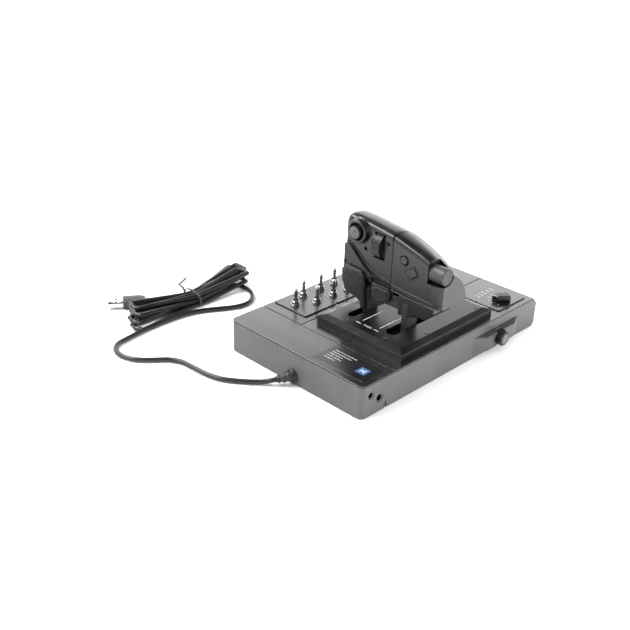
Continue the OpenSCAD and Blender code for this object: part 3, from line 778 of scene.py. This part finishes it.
def addToggles():
    reach = nutFlats / 2
    bushings = bmesh.new()
    nuts = bmesh.new()
    washers = bmesh.new()
    for x, y in toggles:
        profile = [(2.75, 26.4), (3.1, 26.4), (3.1, 31.5)]
        for i in range(7):
            z = 31.5 + i * 0.55
            profile += [(3.1, z), (2.85, z + 0.27)]
        profile += [(3.0, 35.3), (2.9, 35.6), (2.65, 35.7), (2.55, 35.3), (2.55, 34.4), (2.75, 34.0)]
        lathe(bushings, profile, (x, y, 0), "z", 28, True)
        prism(bushings, rounded(x - 6.5, y - 4, x + 6.5, y + 4, 0.5, 2), 17.6, 28.5)
        lathe(
            washers,
            [(3.15, 31.5), (4.2, 31.5), (4.35, 31.65), (4.35, 31.8), (4.2, 31.92), (3.15, 31.92)],
            (x, y, 0), "z", 36, True,
        )
        blank = shape(prism, circle(x, y, reach / math.cos(math.pi / 6), 6, 0.2), 31.9, 34.1)
        dome = shape(
            lathe,
            [
                (3.15, 31.8), (reach + 0.2, 31.8), (reach + 0.75, 32.3), (reach + 0.75, 33.6),
                (reach + 0.1, 34.2), (3.15, 34.2),
            ],
            (x, y, 0), "z", 36, True,
        )
        absorb(nuts, carve(blank, [dome], "INTERSECT"))
    finishPiece("toggle_bushings", bushings, "nickel", "base", ["toggle_bodies"], sharp=40)
    finishPiece("toggle_hex_nuts", nuts, "nickel", "base", ["toggle_nuts"], 0.08, 30)
    finishPiece("toggle_washers", washers, "nickel", "base", sharp=30)
    for number, (x, y) in enumerate(toggles, 1):
        bat = shape(lathe, [
            (0, 28.6), (1.2, 28.8), (1.8, 30), (1.8, 32), (1.4, 33.2), (1.4, 36.6), (1.6, 40), (1.85, 43.4),
            (1.85, 44.9), (1.65, 45.8), (1.15, 46.35), (0.5, 46.5), (0, 46.5),
        ], (x, y, 0), "z", 28)
        finishPiece(
            f"toggle_bat_{number}", bat, "chrome", f"toggle_{number}", [f"toggle_lever_{number}"],
            sharp=50,
        )


addToggles()
print("toggles made")


# side housing with its notched dial, jacks, screws and strain relief

housing = {
    "plan": [(-77.3, -23.5), (-82.2, -38), (-82.2, -79), (-77.3, -91)], "low": 5, "dial": (-58, 12),
}


def addHousing():
    y, z = housing["dial"]
    shell = shape(prism, housing["plan"], housing["low"], 21)
    recess = shape(lathe, [(0, -86), (7.9, -86), (7.9, -78.7), (0, -78.7)], (0, y, z), "x", 40)
    bore = shape(lathe, [(0, -86), (2.5, -86), (2.5, -70), (0, -70)], (0, y, z), "x", 24)
    slope = shape(prism, [(-84, 16.6), (-76.5, 21.3), (-76.5, 25), (-84, 25)], -95, -20, "y")
    shell = carve(shell, [slope, recess, bore])
    finishPiece("side_fairing", shell, "base_shell", "base", ["side_housing"], 0.5, 25, 3)
    ribs = bmesh.new()
    for x, start, end in ((-78.3, -30.5, -85.5), (-79.5, -33.5, -83), (-80.7, -36, -80.5)):
        height = 21.3 + (x + 76.5) * 0.627
        prism(
            ribs,
            [
                (x - 0.45, height - 1), (x + 0.45, height - 0.4), (x + 0.35, height + 0.45),
                (x - 0.3, height + 0.1),
            ],
            end, start, "y",
        )
    ribCut = shape(lathe, [(0, -90), (8.3, -90), (8.3, -70), (0, -70)], (0, y, z), "x", 40)
    ribs = carve(ribs, [ribCut])
    finishPiece("side_fairing_ribs", ribs, "painted_shade_and_rib_black", "base", edge=0.12)
    dial = shape(lathe, [
        (0, -87.7), (4.9, -87.7), (5.2, -87.4), (6.3, -87.4), (6.8, -86.9), (6.8, -79.6), (6.4, -79.2),
        (2, -79.2),
        (2, -68.5), (0, -68.5),
    ], (0, y, z), "x", 64)
    notches = []
    for i in range(8):
        angle = math.radians(10 + 45 * i)
        notches.append(
            shape(
                prism, circle(y + 7.9 * math.cos(angle), z + 7.9 * math.sin(angle), 1.7, 16), -89,
                -79.0, "x",
            )
        )
    dial = carve(dial, notches)
    finishPiece("tension_dial_knob", dial, "black_plastic", "tension_dial", ["tension_knob"], 0.2, 32)
    face = shape(
        lathe, [(0, -87.82), (4.4, -87.82), (4.6, -87.65), (4.6, -87.5), (0, -87.5)], (0, y, z), "x",
        48,
    )
    finishPiece("tension_dial_face", face, "grey_face", "tension_dial")


def addJacks():
    barrels = bmesh.new()
    boreShade = bmesh.new()
    for y, z, outer, inner in ((110.4, 19.6, 3.6, 2.5), (100, 13.4, 4.4, 3.0)):
        lathe(barrels, [
            (inner, -77.1), (outer - 0.5, -77.1), (outer - 0.1, -76.8), (outer, -76.2), (outer, -63.5),
            (1, -63.5),
            (1, -64.6), (inner, -65),
        ], (0, y, z), "x", 40, True)
        # near-black rings inside each jack bore: painted shade in the hollow of the socket
        for depth in (-74.5, -71, -67.5):
            lathe(
                boreShade,
                [
                    (inner - 0.5, depth), (inner + 0.05, depth), (inner + 0.05, depth + 0.9),
                    (inner - 0.5, depth + 0.9),
                ],
                (0, y, z), "x", 32, True,
            )
    finishPiece("jack_barrels", barrels, "steel", "base", ["aux_sockets"], sharp=35)
    finishPiece("jack_bore_shade", boreShade, "painted_shade_and_rib_black", "base", sharp=35)


def addScrewRecesses():
    heads = bmesh.new()
    for x, y in ((-45, 57.8), (-2, 57.8), (-62, 25.5), (15, 25.5), (-62, -44), (15, -44)):
        lathe(
            heads,
            [(0, 38.0), (0.7, 38.0), (0.75, 38.42), (1.7, 38.42), (2.1, 38.3), (2.15, 38.15), (0, 38.15)],
            (x, y, 0), "z", 28,
        )
    finishPiece("gate_screw_heads", heads, "black_plastic", "base", sharp=30)


def addStrainRelief():
    boot = shape(
        lathe,
        [(0, 114), (3.2, 114), (3.2, 120.2), (6.4, 120.2), (6.4, 121.6), (5.9, 122.2), (0, 122.2)],
        (0, 0, 7.6), "y", 40,
    )
    line = smoothLine(
        [(0, 121.4, 7.6), (0.9, 123.6, 7.3), (2.9, 126.6, 6.5), (6, 129.9, 5.6), (7.6, 132, 5.1)], 6,
    )
    rings = []
    total = len(line) - 1
    for i, point in enumerate(line):
        heading = headingAt(line, i)
        side = heading.cross(Vector((0, 0, 1))).normalized()
        out = side.cross(heading)
        radius = 4.9 - 1.9 * i / total
        if i % 6 in (3, 4):
            radius -= 0.7
        rings.append([point + (side * a + out * b) * radius for a, b in circle(0, 0, 1, 24)])
    ringed(boot, rings)
    finishPiece("strain_boot", boot, "black_plastic", "base", ["strain_relief"], sharp=45)


addHousing()
addJacks()
addScrewRecesses()
addStrainRelief()
print("side housing, jacks and strain relief made")


# grips: side profiles bridged along x, then carved

seamBack = [(11.7, 0.021), (5.2, 0.075), (0.2, 0.17), (-3.6, 0.36), (-6.2, 0.58), (-7.5, 0.79), (-7.9, 0.95)]
endBack = [(17.6, 0.043), (9.2, 0.157), (2.8, 0.344), (-1.7, 0.541), (-4, 0.718), (-5.4, 0.859), (-5.7, 0.95)]
gripFloor = 64.5
gripFace = 30.2
pivot = (28, 10)
gripTop = {
    "crown": 119.9, "crownX": 21, "seam": 115.3, "innerSeamX": -22.4, "outerSeamX": -24.4,
    "chamfer": (0.7, 0.6, 0.8), "corner": (25, 4.4, 4.6, 2.4), "end": 52.6,
    "slope": 0.257, "fall": 6.3, "endInset": (43.6, 9, 3),
}


def innerTop(x):
    along = max(0, gripTop["crownX"] - x) / (gripTop["crownX"] - gripTop["innerSeamX"])
    return gripTop["crown"] - (gripTop["crown"] - gripTop["seam"]) * along ** 1.3


def innerStations():
    across, drop, inset = gripTop["chamfer"]
    start, width, height, depth = gripTop["corner"]
    for degrees in (90, 62, 36, 7):
        angle = math.radians(degrees)
        low = 1 - math.cos(angle)
        yield (start + width * math.sin(angle), gripTop["crown"] - height * low, depth * low, 0)
    for x in (21, 10, 0, -12, gripTop["innerSeamX"]):
        yield (x, innerTop(x), 0, 0)
    yield (gripTop["innerSeamX"] - across, gripTop["seam"] - drop, inset, 0)


def outerStations():
    across, drop, inset = gripTop["chamfer"]
    yield (gripTop["outerSeamX"] + across, gripTop["seam"] - drop, inset, 0)
    edge, width, depth = gripTop["endInset"]
    for run in (0, 7, 14, 20, 26, 32, 38, 43.6, 47.6, 50, 51.4, 52.2, gripTop["end"]):
        height = gripTop["seam"] - gripTop["slope"] * run - gripTop["fall"] * (run / gripTop["end"]) ** 5
        turn = min(1, run / 51.2) ** 1.25
        inset = depth * (max(0, run - edge) / width) ** 2
        yield (gripTop["outerSeamX"] - run, height, inset, 3 * turn ** 2 - 2 * turn ** 3)


def gripRing(x, top, inset, mix):
    face = gripFace - inset
    drop = top - gripFloor
    outline = [
        (face - 1, gripFloor), (face, gripFloor + 1), (face, 80), (face, top - 9), (face, top - 6.1),
        (face - 0.2, top - 4.4), (face - 1.1, top - 2.1), (face - 2.2, top - 1.1), (face - 3.6, top - 0.45),
        (24.5, top - 0.2), (24.3, top - 0.75), (23.8, top - 0.75), (23.6, top - 0.1),
        (21.4 + mix, top), (16.1 + 3.9 * mix, top - 0.3),
    ]
    for first, second in zip(seamBack, endBack):
        y = first[0] + (second[0] - first[0]) * mix + min(inset, 1.2)
        outline.append((y, top - drop * (first[1] + (second[1] - first[1]) * mix)))
    rear = outline[-1][0]
    outline += [(rear + 0.4, gripFloor + 0.8), (rear + 1.8, gripFloor)]
    return [Vector((x, y, z)) for y, z in outline]


def gripBlank(heights):
    bm = bmesh.new()
    rings = []
    for first, second in zip(heights, heights[1:]):
        count = max(1, round((first[0] - second[0]) / 3))
        for k in range(count):
            t = k / count
            rings.append(gripRing(*[a + (b - a) * t for a, b in zip(first, second)]))
    rings.append(gripRing(*heights[-1]))
    ringed(bm, rings)
    return bm


def channel(points, y, half, depth):
    bm = bmesh.new()
    section = [
        (half, 6), (half, 0.1), (half * 0.7, -depth * 0.75), (0, -depth), (-half * 0.7, -depth * 0.75),
        (-half, 0.1), (-half, 6),
    ]
    sweep(bm, smoothLine([(x, y, z) for x, z in points], 6), section, (0, 1, 0))
    return bm


def bead(bm, points, radius):
    sweep(bm, smoothLine(points, 6), circle(0, 0, radius, 10), (0, 1, 0))


def rim(bm, outline, y, radius):
    ring = [Vector((a, y, b)) for a, b in outline]
    rings = []
    for i, point in enumerate(ring):
        heading = (ring[(i + 1) % len(ring)] - ring[i - 1]).normalized()
        side = heading.cross(Vector((0, 1, 0))).normalized()
        rings.append([point + side * a + Vector((0, b, 0)) for a, b in circle(0, 0, radius, 8)])
    ringed(bm, rings + [rings[0]], capped=False)


def cylinder(x0, x1, a, b, radius, axis, count=40):
    return shape(prism, circle(a, b, radius, count), x0, x1, axis)


innerGrip = {
    "slew": (13.3, 108.5), "slewHole": 7.4, "wheel": (-15.8, -3.3, 89.3, 112.8),
    "wheelCentre": (25, 101), "screws": [(5.6, 94.3), (-19.2, 106.1)],
    "channel": [
        (34, 95.6), (28, 95), (22, 93.9), (17.4, 90.8), (12.6, 86.2), (8, 82.2), (1.5, 78),
        (-5.3, 74.8), (-14, 72.2), (-22.6, 70.9), (-27, 70.4),
    ],
    "upperLip": [
        (16.4, 30.2, 91.6), (15.6, 30.3, 91.0), (10.6, 30.3, 87.3), (6.3, 30.3, 83.7), (-0.2, 30.3, 80),
        (-6.5, 30.3, 77.2), (-14.8, 30.3, 74.3), (-22.8, 30.3, 72.5),
    ],
    "lowerLip": [
        (29.0, 30.4, 92.7), (25, 31.2, 92.2), (21, 31.5, 91), (15.4, 31.5, 86.1), (7.9, 31.2, 79.4),
        (3.4, 30.9, 75.9), (-2.2, 30.6, 72.3),
    ],
    "panel": [
        (29.2, 92.5), (25, 92.1), (21, 90.9), (15.4, 86), (7.9, 79.3), (3.4, 75.8), (-2.2, 72.1),
        (-2.2, 71.2), (6.6, 64.6), (6.6, 46), (17, 46), (27, 49.4), (29.2, 55),
    ],
    "section": [(31.2, 45.5), (31.2, 95), (20, 95), (20, 69), (14, 64.4), (14, 54), (25, 46)],
}


outerGrip = {
    "channel": [(-20, 69.6), (-27, 69.0), (-42, 67.5), (-57, 66.9), (-66, 66.6), (-73, 66.5), (-80, 66.7)],
    "upperLip": [
        (-24.2, 30.2, 71.7), (-27, 30.3, 71.4), (-42, 30.3, 69.9), (-56.3, 30.3, 69.3),
        (-66.7, 30.3, 68.7), (-69.8, 30.2, 68.6), (-76.4, 28.2, 68.9),
    ],
    "lowerLip": [
        (-25, 30.1, 66.3), (-27.6, 30.2, 66.0), (-42.4, 30.2, 65.0), (-56.8, 30.2, 64.5),
        (-71.4, 29.8, 64.3),
    ],
    "panel": [
        (-33.5, 65), (-33.5, 46.2), (-43.2, 47.6), (-55.9, 51.4), (-62.5, 51.7), (-71.2, 60),
        (-71.2, 65),
    ],
    "section": [(30.3, 45.5), (30.3, 66), (14, 66), (14, 54), (25, 46)],
    "hex": (-36.9, 97.3), "square": (-45.5, 88.2, 38), "dial": (23, 93.3),
}


def squarePlace():
    x, z, lean = outerGrip["square"]
    return Matrix.Translation((x, 0, z)) @ Matrix.Rotation(math.radians(lean), 4, "Y")


def addInnerGrip():
    sx, sz = innerGrip["slew"]
    x0, x1, z0, z1 = innerGrip["wheel"]
    tools = [
        cylinder(-26, -2.6, pivot[0], pivot[1], 61, "x", 160),
        cylinder(16, 40, sx, sz, innerGrip["slewHole"], "y"),
        shape(prism, rounded(x0, z0, x1, z1, 0.8, 3), 13.2, 40, "y"),
        channel(innerGrip["channel"], gripFace, 2.1, 1.8),
    ]
    for x, z in innerGrip["screws"]:
        tools.append(cylinder(24, 40, x, z, 1.9, "y", 24))
    body = carve(gripBlank(list(innerStations())), tools)
    finishPiece(
        "inner_grip_shell", body, "grip_plastic", "inner_lever",
        ["inner_grip_front", "inner_grip_back"], 0.3, 34, weighted=True,
    )
    skirt = shape(prism, innerGrip["section"], -3, 30, "x")
    outline = shape(prism, innerGrip["panel"], 0, 60, "y")
    skirt = carve(skirt, [outline], "INTERSECT")
    skirt = carve(
        skirt,
        [cylinder(28, 40, 27.6, 76.4, 1.5, "y", 20), cylinder(-26, -2.1, pivot[0], pivot[1], 61, "x", 160)],
    )
    finishPiece(
        "inner_grip_panel", skirt, "grip_panel", "inner_lever", edge=0.5, sharp=34, turns=3,
    )
    lips = shape(bead, innerGrip["upperLip"], 0.5)
    bead(lips, innerGrip["lowerLip"], 0.55)
    finishPiece("inner_grip_lips", lips, "grip_plastic", "inner_lever", sharp=60)


def addRecessShade():
    # near-black liners in the screw holes, the panel hole, the wheel slot and the button and dial pockets:
    # painted shade in these recesses
    inner = bmesh.new()
    for x, z in innerGrip["screws"]:
        lathe(
            inner, [(0, 24.4), (1.95, 24.4), (1.95, 30.12), (1.7, 30.12), (1.7, 25), (0, 25)],
            (x, 0, z), "y", 28,
        )
    lathe(
        inner, [(0, 27), (1.55, 27), (1.55, 31.22), (1.3, 31.22), (1.3, 27.4), (0, 27.4)],
        (27.6, 0, 76.4), "y", 24,
    )
    x0, x1, z0, z1 = innerGrip["wheel"]
    for a0, b0, a1, b1, low, high in (
        (x0 - 0.02, z0, x1, z0 + 0.3, 13.4, 29.6), (x1 - 0.3, z0, x1 + 0.02, z1, 13.4, 29.6),
        (x0, z1 - 0.3, x1, z1 + 0.02, 13.4, 29.4), (x0, z0, x1, z1, 13.3, 13.6),
    ):
        prism(inner, [(a0, b0), (a1, b0), (a1, b1), (a0, b1)], low, high, "y")
    finishPiece("inner_recess_shade", inner, "painted_shade_and_rib_black", "inner_lever", sharp=30)
    outer = bmesh.new()
    hx, hz = outerGrip["hex"]
    lathe(
        outer, [(0, 23.9), (4.62, 23.9), (4.62, 30.15), (4.4, 30.15), (4.4, 24.3), (0, 24.3)],
        (hx, 0, hz), "y", 40,
    )
    tray = shape(prism, rounded(-5.92, -4.42, 5.92, 4.42, 0.5, 2), 23.9, 30.15, "y")
    tray = carve(tray, [shape(prism, rounded(-5.7, -4.2, 5.7, 4.2, 0.4, 2), 24.3, 33, "y")])
    tray.transform(squarePlace())
    absorb(outer, tray)
    dy, dz = outerGrip["dial"]
    lathe(outer, [(2.3, -61.9), (7.6, -61.9), (7.6, -61.72), (2.3, -61.72)], (0, dy, dz), "x", 48, True)
    finishPiece("outer_recess_shade", outer, "painted_shade_and_rib_black", "outer_lever", sharp=30)


def addSlewControl():
    x, z = innerGrip["slew"]
    hood = shape(lathe, [
        (12.0, 29.6), (11.0, 30.6), (10.5, 32), (10.3, 33.8), (10.0, 34.6), (9.4, 35.0), (8.3, 35.0),
        (7.9, 34.7),
        (7.7, 34), (7.7, 26), (9, 26),
    ], (x, 0, z), "y", 64, True)
    finishPiece("slew_cup", hood, "grip_plastic", "inner_lever", ["slew_hood"], sharp=40)
    # near-black ring at the bottom of the slew hood: painted shade in the recess
    hoodShade = shape(lathe, [(4.0, 21.4), (7.75, 21.4), (7.75, 22.0), (4.0, 22.0)], (x, 0, z), "y", 40, True)
    finishPiece("slew_hood_shade", hoodShade, "painted_shade_and_rib_black", "inner_lever")
    knob = shape(
        lathe,
        [
            (0, 22.8), (3.4, 22.8), (3.4, 31), (5.2, 31), (5.9, 31.6), (6.1, 33), (6.1, 36.4),
            (5.8, 37.2), (5.2, 37.5), (0, 37.5),
        ],
        (x, 0, z), "y", 64,
    )
    notches = []
    for i in range(12):
        angle = 2 * math.pi * i / 12
        notches.append(
            cylinder(34.2, 40, x + 6.5 * math.cos(angle), z + 6.5 * math.sin(angle), 0.75, "y", 14)
        )
    knob = carve(knob, notches)
    finishPiece("slew_cap", knob, "grip_plastic", "slew_cap", ["slew_knob"], 0.12, 34)
    face = shape(lathe, [(0, 37.3), (4.9, 37.3), (4.9, 37.55), (0, 37.62)], (x, 0, z), "y", 48)
    for i in range(-3, 4):
        for k in range(-3, 4):
            if math.hypot(i, k) * 1.32 < 4.5:
                cx = x + i * 1.32
                cz = z + k * 1.32
                spots = prism(
                    face, rounded(cx - 0.46, cz - 0.46, cx + 0.46, cz + 0.46, 0.15, 2), 37.5, 38.0, "y",
                )
                tips = [spot for spot in spots if spot.co.y > 37.9]
                bmesh.ops.scale(
                    face, vec=(0.55, 1, 0.55), verts=tips, space=Matrix.Translation((-cx, 0, -cz)),
                )
    finishPiece("slew_cap_face", face, "grey_face", "slew_cap", sharp=40)


def addWheel():
    y, z = innerGrip["wheelCentre"]
    wheel = bmesh.new()
    outline = []
    for i in range(44):
        angle = 2 * math.pi * i / 44
        for offset, radius in ((0, 10.25), (0.03, 11.0), (0.085, 11.0), (0.115, 10.25)):
            a = angle + offset
            outline.append((y + radius * math.cos(a), z + radius * math.sin(a)))
    prism(wheel, outline, -12.6, -4.4, "x")
    for low, high in ((-13, -12.6), (-4.4, -4)):
        prism(wheel, circle(y, z, 11.0, 72), low, high, "x")
    finishPiece("thumb_wheel_ribbed", wheel, "grip_plastic", "thumb_wheel", ["tilt_wheel"], 0.1, 34)
    fins = bmesh.new()
    for x in (-14.0, -15.0):
        prism(fins, circle(y, z, 9.6 if x < -14.5 else 10.6, 56), x - 0.2, x + 0.25, "x")
    block = shape(prism, [(14, 90), (29.9, 90), (29.9, 112), (14, 112)], -16, -13, "x")
    fins = carve(fins, [block], "INTERSECT")
    finishPiece("wheel_fins", fins, "grip_plastic", "inner_lever", edge=0.08)


def addOuterGrip():
    hx, hz = outerGrip["hex"]
    dy, dz = outerGrip["dial"]
    pocket = shape(prism, rounded(-5.9, -4.4, 5.9, 4.4, 0.5, 2), 24, 40, "y")
    pocket.transform(squarePlace())
    tools = [
        cylinder(24, 40, hx, hz, 4.6, "y"), pocket, cylinder(-80, -61.8, dy, dz, 8.1, "x", 56),
        shape(
            prism,
            [(dy, dz - 8.1), (40, dz - 8.1), (40, 125), (dy - 8.1, 125), (dy - 8.1, dz), (dy, dz)], -80,
            -61.8, "x",
        ),
        channel(outerGrip["channel"], gripFace, 2.0, 1.8),
    ]
    body = carve(gripBlank(list(outerStations())), tools)
    shell = finishPiece(
        "outer_grip_shell", body, "grip_plastic", "outer_lever",
        ["outer_grip_front", "outer_grip_back"], 0.3, 34, weighted=True,
    )
    # faces turned to -X at the grip's end get the lighter copy: painted light on the end face
    shell.data.materials.append(materials["grip_end_painted_light"])
    for face in shell.data.polygons:
        if face.normal.x < -0.8 and face.center.x < -0.0765:
            face.material_index = 1
    skirt = shape(prism, outerGrip["section"], -75, -30, "x")
    skirt = carve(skirt, [shape(prism, outerGrip["panel"], 0, 60, "y")], "INTERSECT")
    finishPiece("outer_grip_skirt", skirt, "grip_plastic", "outer_lever", edge=0.9, sharp=24, turns=3)
    lips = shape(bead, outerGrip["upperLip"], 0.5)
    bead(lips, outerGrip["lowerLip"], 0.38)
    finishPiece("outer_grip_lips", lips, "grip_plastic", "outer_lever", sharp=60)
    cover = bmesh.new()
    arc = []
    for radius, order in ((60.4, range(14)), (58.2, range(13, -1, -1))):
        for k in order:
            angle = math.radians(2 * k)
            arc.append((pivot[0] + 0.1 - radius * math.sin(angle), pivot[1] + radius * math.cos(angle)))
    prism(cover, arc, -22.6, -4, "x")
    prism(cover, [(26.4, 60.2), (28.1, 60.2), (28.1, 69.6), (26.4, 69.6)], -22.6, -4, "x")
    finishPiece("outer_arm_cover", cover, "black_plastic", "outer_lever", edge=0.2)


def addButtons():
    x, z = outerGrip["hex"]
    button = bmesh.new()
    rings = []
    for y, size in ((26.0, 1.0), (30.6, 1.0), (31.3, 0.94), (31.6, 0.84)):
        rings.append(
            [Vector((x + a * size, y, z + b * size)) for a, b in circle(0, 0, 3.9, 6, math.radians(30))]
        )
    ringed(button, rings)
    finishPiece("hex_button_cap", button, "grey_plastic", "hex_push", ["hex_button"], 0.2, 25)
    rims = bmesh.new()
    rim(rims, circle(x, z, 4.75, 28), gripFace, 0.28)
    squareRim = shape(rim, rounded(-6.15, -4.65, 6.15, 4.65, 0.7, 3), 30.25, 0.3)
    squareRim.transform(squarePlace())
    absorb(rims, squareRim)
    finishPiece("button_rims", rims, "grip_plastic", "outer_lever", sharp=60)
    block = bmesh.new()
    rings = []
    for y, shrink in ((25.7, 0), (30.3, 0), (31.0, 0.5), (31.2, 1.1)):
        outline = rounded(-5.5 + shrink, -4 + shrink, 5.5 - shrink, 4 - shrink, 0.6, 3)
        rings.append([Vector((a, y, b)) for a, b in outline])
    ringed(block, rings)
    block.transform(squarePlace())
    finishPiece(
        "square_button_cap", block, "black_plastic", "square_push", ["square_button"], 0.15, 25,
    )
    y, z = outerGrip["dial"]
    dial = shape(lathe, [
        (0, -76.6), (5.9, -76.6), (6.1, -76.8), (6.8, -76.8), (7.3, -76.2), (7.3, -63.2), (6.9, -62.3),
        (2, -62.3), (2, -59), (0, -59),
    ], (0, y, z), "x", 64)
    finishPiece("end_dial_knob", dial, "grey_plastic", "end_dial", ["end_knob"], sharp=32)


lifts = {
    "inner": {
        "outline": [
            (28.8, 69.8), (22.8, 75), (6.0, 73.5), (3.4, 71), (1.2, 39.8), (4.8, 39.6), (6, 44.8),
            (20, 53.4), (28.2, 58.2),
        ],
        "ribs": [
            (27.4, 68.8), (22, 73.2), (6.4, 72), (4.4, 70.2), (2.6, 52.4), (7.4, 52.4), (23.8, 59.4),
            (26.8, 61),
        ],
        "y": (31.3, 34.2), "rise": 0.9, "pitch": 1.9, "node": "inner_lift", "body": "inner_finger_lift",
    },
    "outer": {
        "outline": [(-3.8, 66.4), (-23.2, 66.6), (-24, 55.2), (-9, 43.6), (-5.2, 43.6)],
        "ribs": [(-4.8, 63.4), (-22.6, 64.4), (-23, 57), (-15, 51), (-5.4, 53)],
        "y": (28.4, 31.6), "rise": 0.9, "pitch": 1.9, "node": "outer_lift", "body": "outer_finger_lift",
    },
}


def spanAt(outline, height):
    crossings = []
    for (x0, z0), (x1, z1) in zip(outline, outline[1:] + outline[:1]):
        if (z0 - height) * (z1 - height) < 0:
            crossings.append(x0 + (x1 - x0) * (height - z0) / (z1 - z0))
    return (min(crossings), max(crossings)) if len(crossings) > 1 else None


def addLift(name, look):
    low, high = look["y"]
    pad = shape(prism, look["outline"], low, high, "y")
    if name == "inner":
        prism(pad, [(14, 56), (20, 56), (20, 60), (14, 60)], 24, 31.4, "y")
    else:
        prism(pad, [(-16.6, 50.4), (-12.4, 50.4), (-12.4, 55.6), (-16.6, 55.6)], 22.4, 28.6, "y")
        prism(pad, [(-23.1, 65.4), (-24.2, 65.2), (-24.3, 56), (-23.4, 56)], 26.2, 31.2, "y")
    finishPiece(name + "_lift_pad", pad, "grip_plastic", look["body"], [look["node"]], 0.55, 34, 3)
    ribs = bmesh.new()
    tops = [z for _, z in look["ribs"]]
    level = max(tops) - 0.9
    while level > min(tops):
        span = spanAt(look["ribs"], level)
        if span and span[1] - span[0] > 1:
            section = [
                (level - 0.6, high - 0.2), (level - 0.3, high + look["rise"]),
                (level + 0.3, high + look["rise"]), (level + 0.6, high - 0.2),
            ]
            prism(ribs, [(y, z) for z, y in section], span[0], span[1], "x")
        level -= look["pitch"]
    finishPiece(name + "_lift_ribs", ribs, "grip_plastic", look["body"], edge=0.12, sharp=30)


addInnerGrip()
addRecessShade()
addSlewControl()
addWheel()
addOuterGrip()
addButtons()
for name, look in lifts.items():
    addLift(name, look)
print("grips, lifts and controls made")


# stage: pale floor, bright horizon, dark ceiling, soft boxes

def addFloor():
    bm = bmesh.new()
    bmesh.ops.create_grid(bm, x_segments=2, y_segments=2, size=6)
    floor = addObject("floor", toMesh(bm, "floor"))
    floor.location = (0, 0, -0.0002)
    material = bpy.data.materials.new("floor")
    material.use_nodes = True
    shader = material.node_tree.nodes["Principled BSDF"]
    shader.inputs["Base Color"].default_value = (0.90, 0.90, 0.90, 1)
    shader.inputs["Roughness"].default_value = 0.7
    floor.data.materials.append(material)


softBoxes = [
    {
        "name": "top", "place": (0.5, -0.5, 2.6), "aim": (0.5, -0.5, 0), "size": (6, 6), "power": 130,
        "gloss": False,
    },
    {
        "name": "left", "place": (0.75, 0.62, 1.15), "aim": (0, 0, 0.08), "size": (1.5, 0.45),
        "power": 34, "gloss": True,
    },
    {
        "name": "right", "place": (-1.3, -0.7, 0.5), "aim": (0, 0, 0.05), "size": (0.8, 0.8),
        "power": 32, "gloss": False,
    },
    {
        "name": "front", "place": (0.1, 1.5, 0.6), "aim": (0, 0, 0.05), "size": (1.0, 0.8), "power": 2,
        "gloss": False,
    },
]


def addLights():
    for look in softBoxes:
        light = bpy.data.lights.new(look["name"], "AREA")
        light.shape = "RECTANGLE"
        light.size, light.size_y = look["size"]
        light.energy = look["power"]
        lamp = addObject(look["name"], light)
        lamp.location = look["place"]
        aim = Vector(look["aim"]) - Vector(look["place"])
        lamp.rotation_euler = aim.to_track_quat("-Z", "Y").to_euler()
        lamp.visible_glossy = look["gloss"]


sky = {
    "azimuth": -52, "strength": 2.8,
    "stops": [(0.0, 1.0), (0.39, 1.0), (0.46, 0.6), (0.53, 0.09), (0.62, 0.04), (1.0, 0.02)],
    "sides": [(0.0, 0.30), (0.45, 0.30), (0.6, 0.48), (0.8, 1.0), (1.0, 1.0)],
}


def greys(stops):
    return [(position, (level, level, level, 1)) for position, level in stops]


def addSky():
    world = bpy.data.worlds.new("studio")
    bpy.context.scene.world = world
    world.use_nodes = True
    tree = world.node_tree
    background = tree.nodes["Background"]
    background.inputs["Strength"].default_value = sky["strength"]
    facing = addNode(tree, "TexCoord").outputs["Generated"]
    turn = addNode(tree, "Mapping", facing, Rotation=(0, 0, math.radians(-sky["azimuth"])))
    turn.vector_type = "VECTOR"
    parts = addNode(tree, "SeparateXYZ", turn.outputs["Vector"])
    height = rampOf(tree, parts.outputs["Z"], greys(sky["stops"]))
    ahead = addNode(tree, "MapRange", parts.outputs["X"], "Value", From_Min=-1)
    sides = rampOf(tree, ahead.outputs["Result"], greys(sky["sides"]))
    both = addNode(tree, "Mix", Factor=1)
    both.data_type = "RGBA"
    both.blend_type = "MULTIPLY"
    tree.links.new(height, both.inputs["A"])
    tree.links.new(sides, both.inputs["B"])
    tree.links.new(both.outputs["Result"], background.inputs["Color"])


addFloor()
addLights()
addSky()
scene = bpy.context.scene
scene.view_settings.view_transform = "Standard"
scene.view_settings.look = "None"
print("stage and lights set")
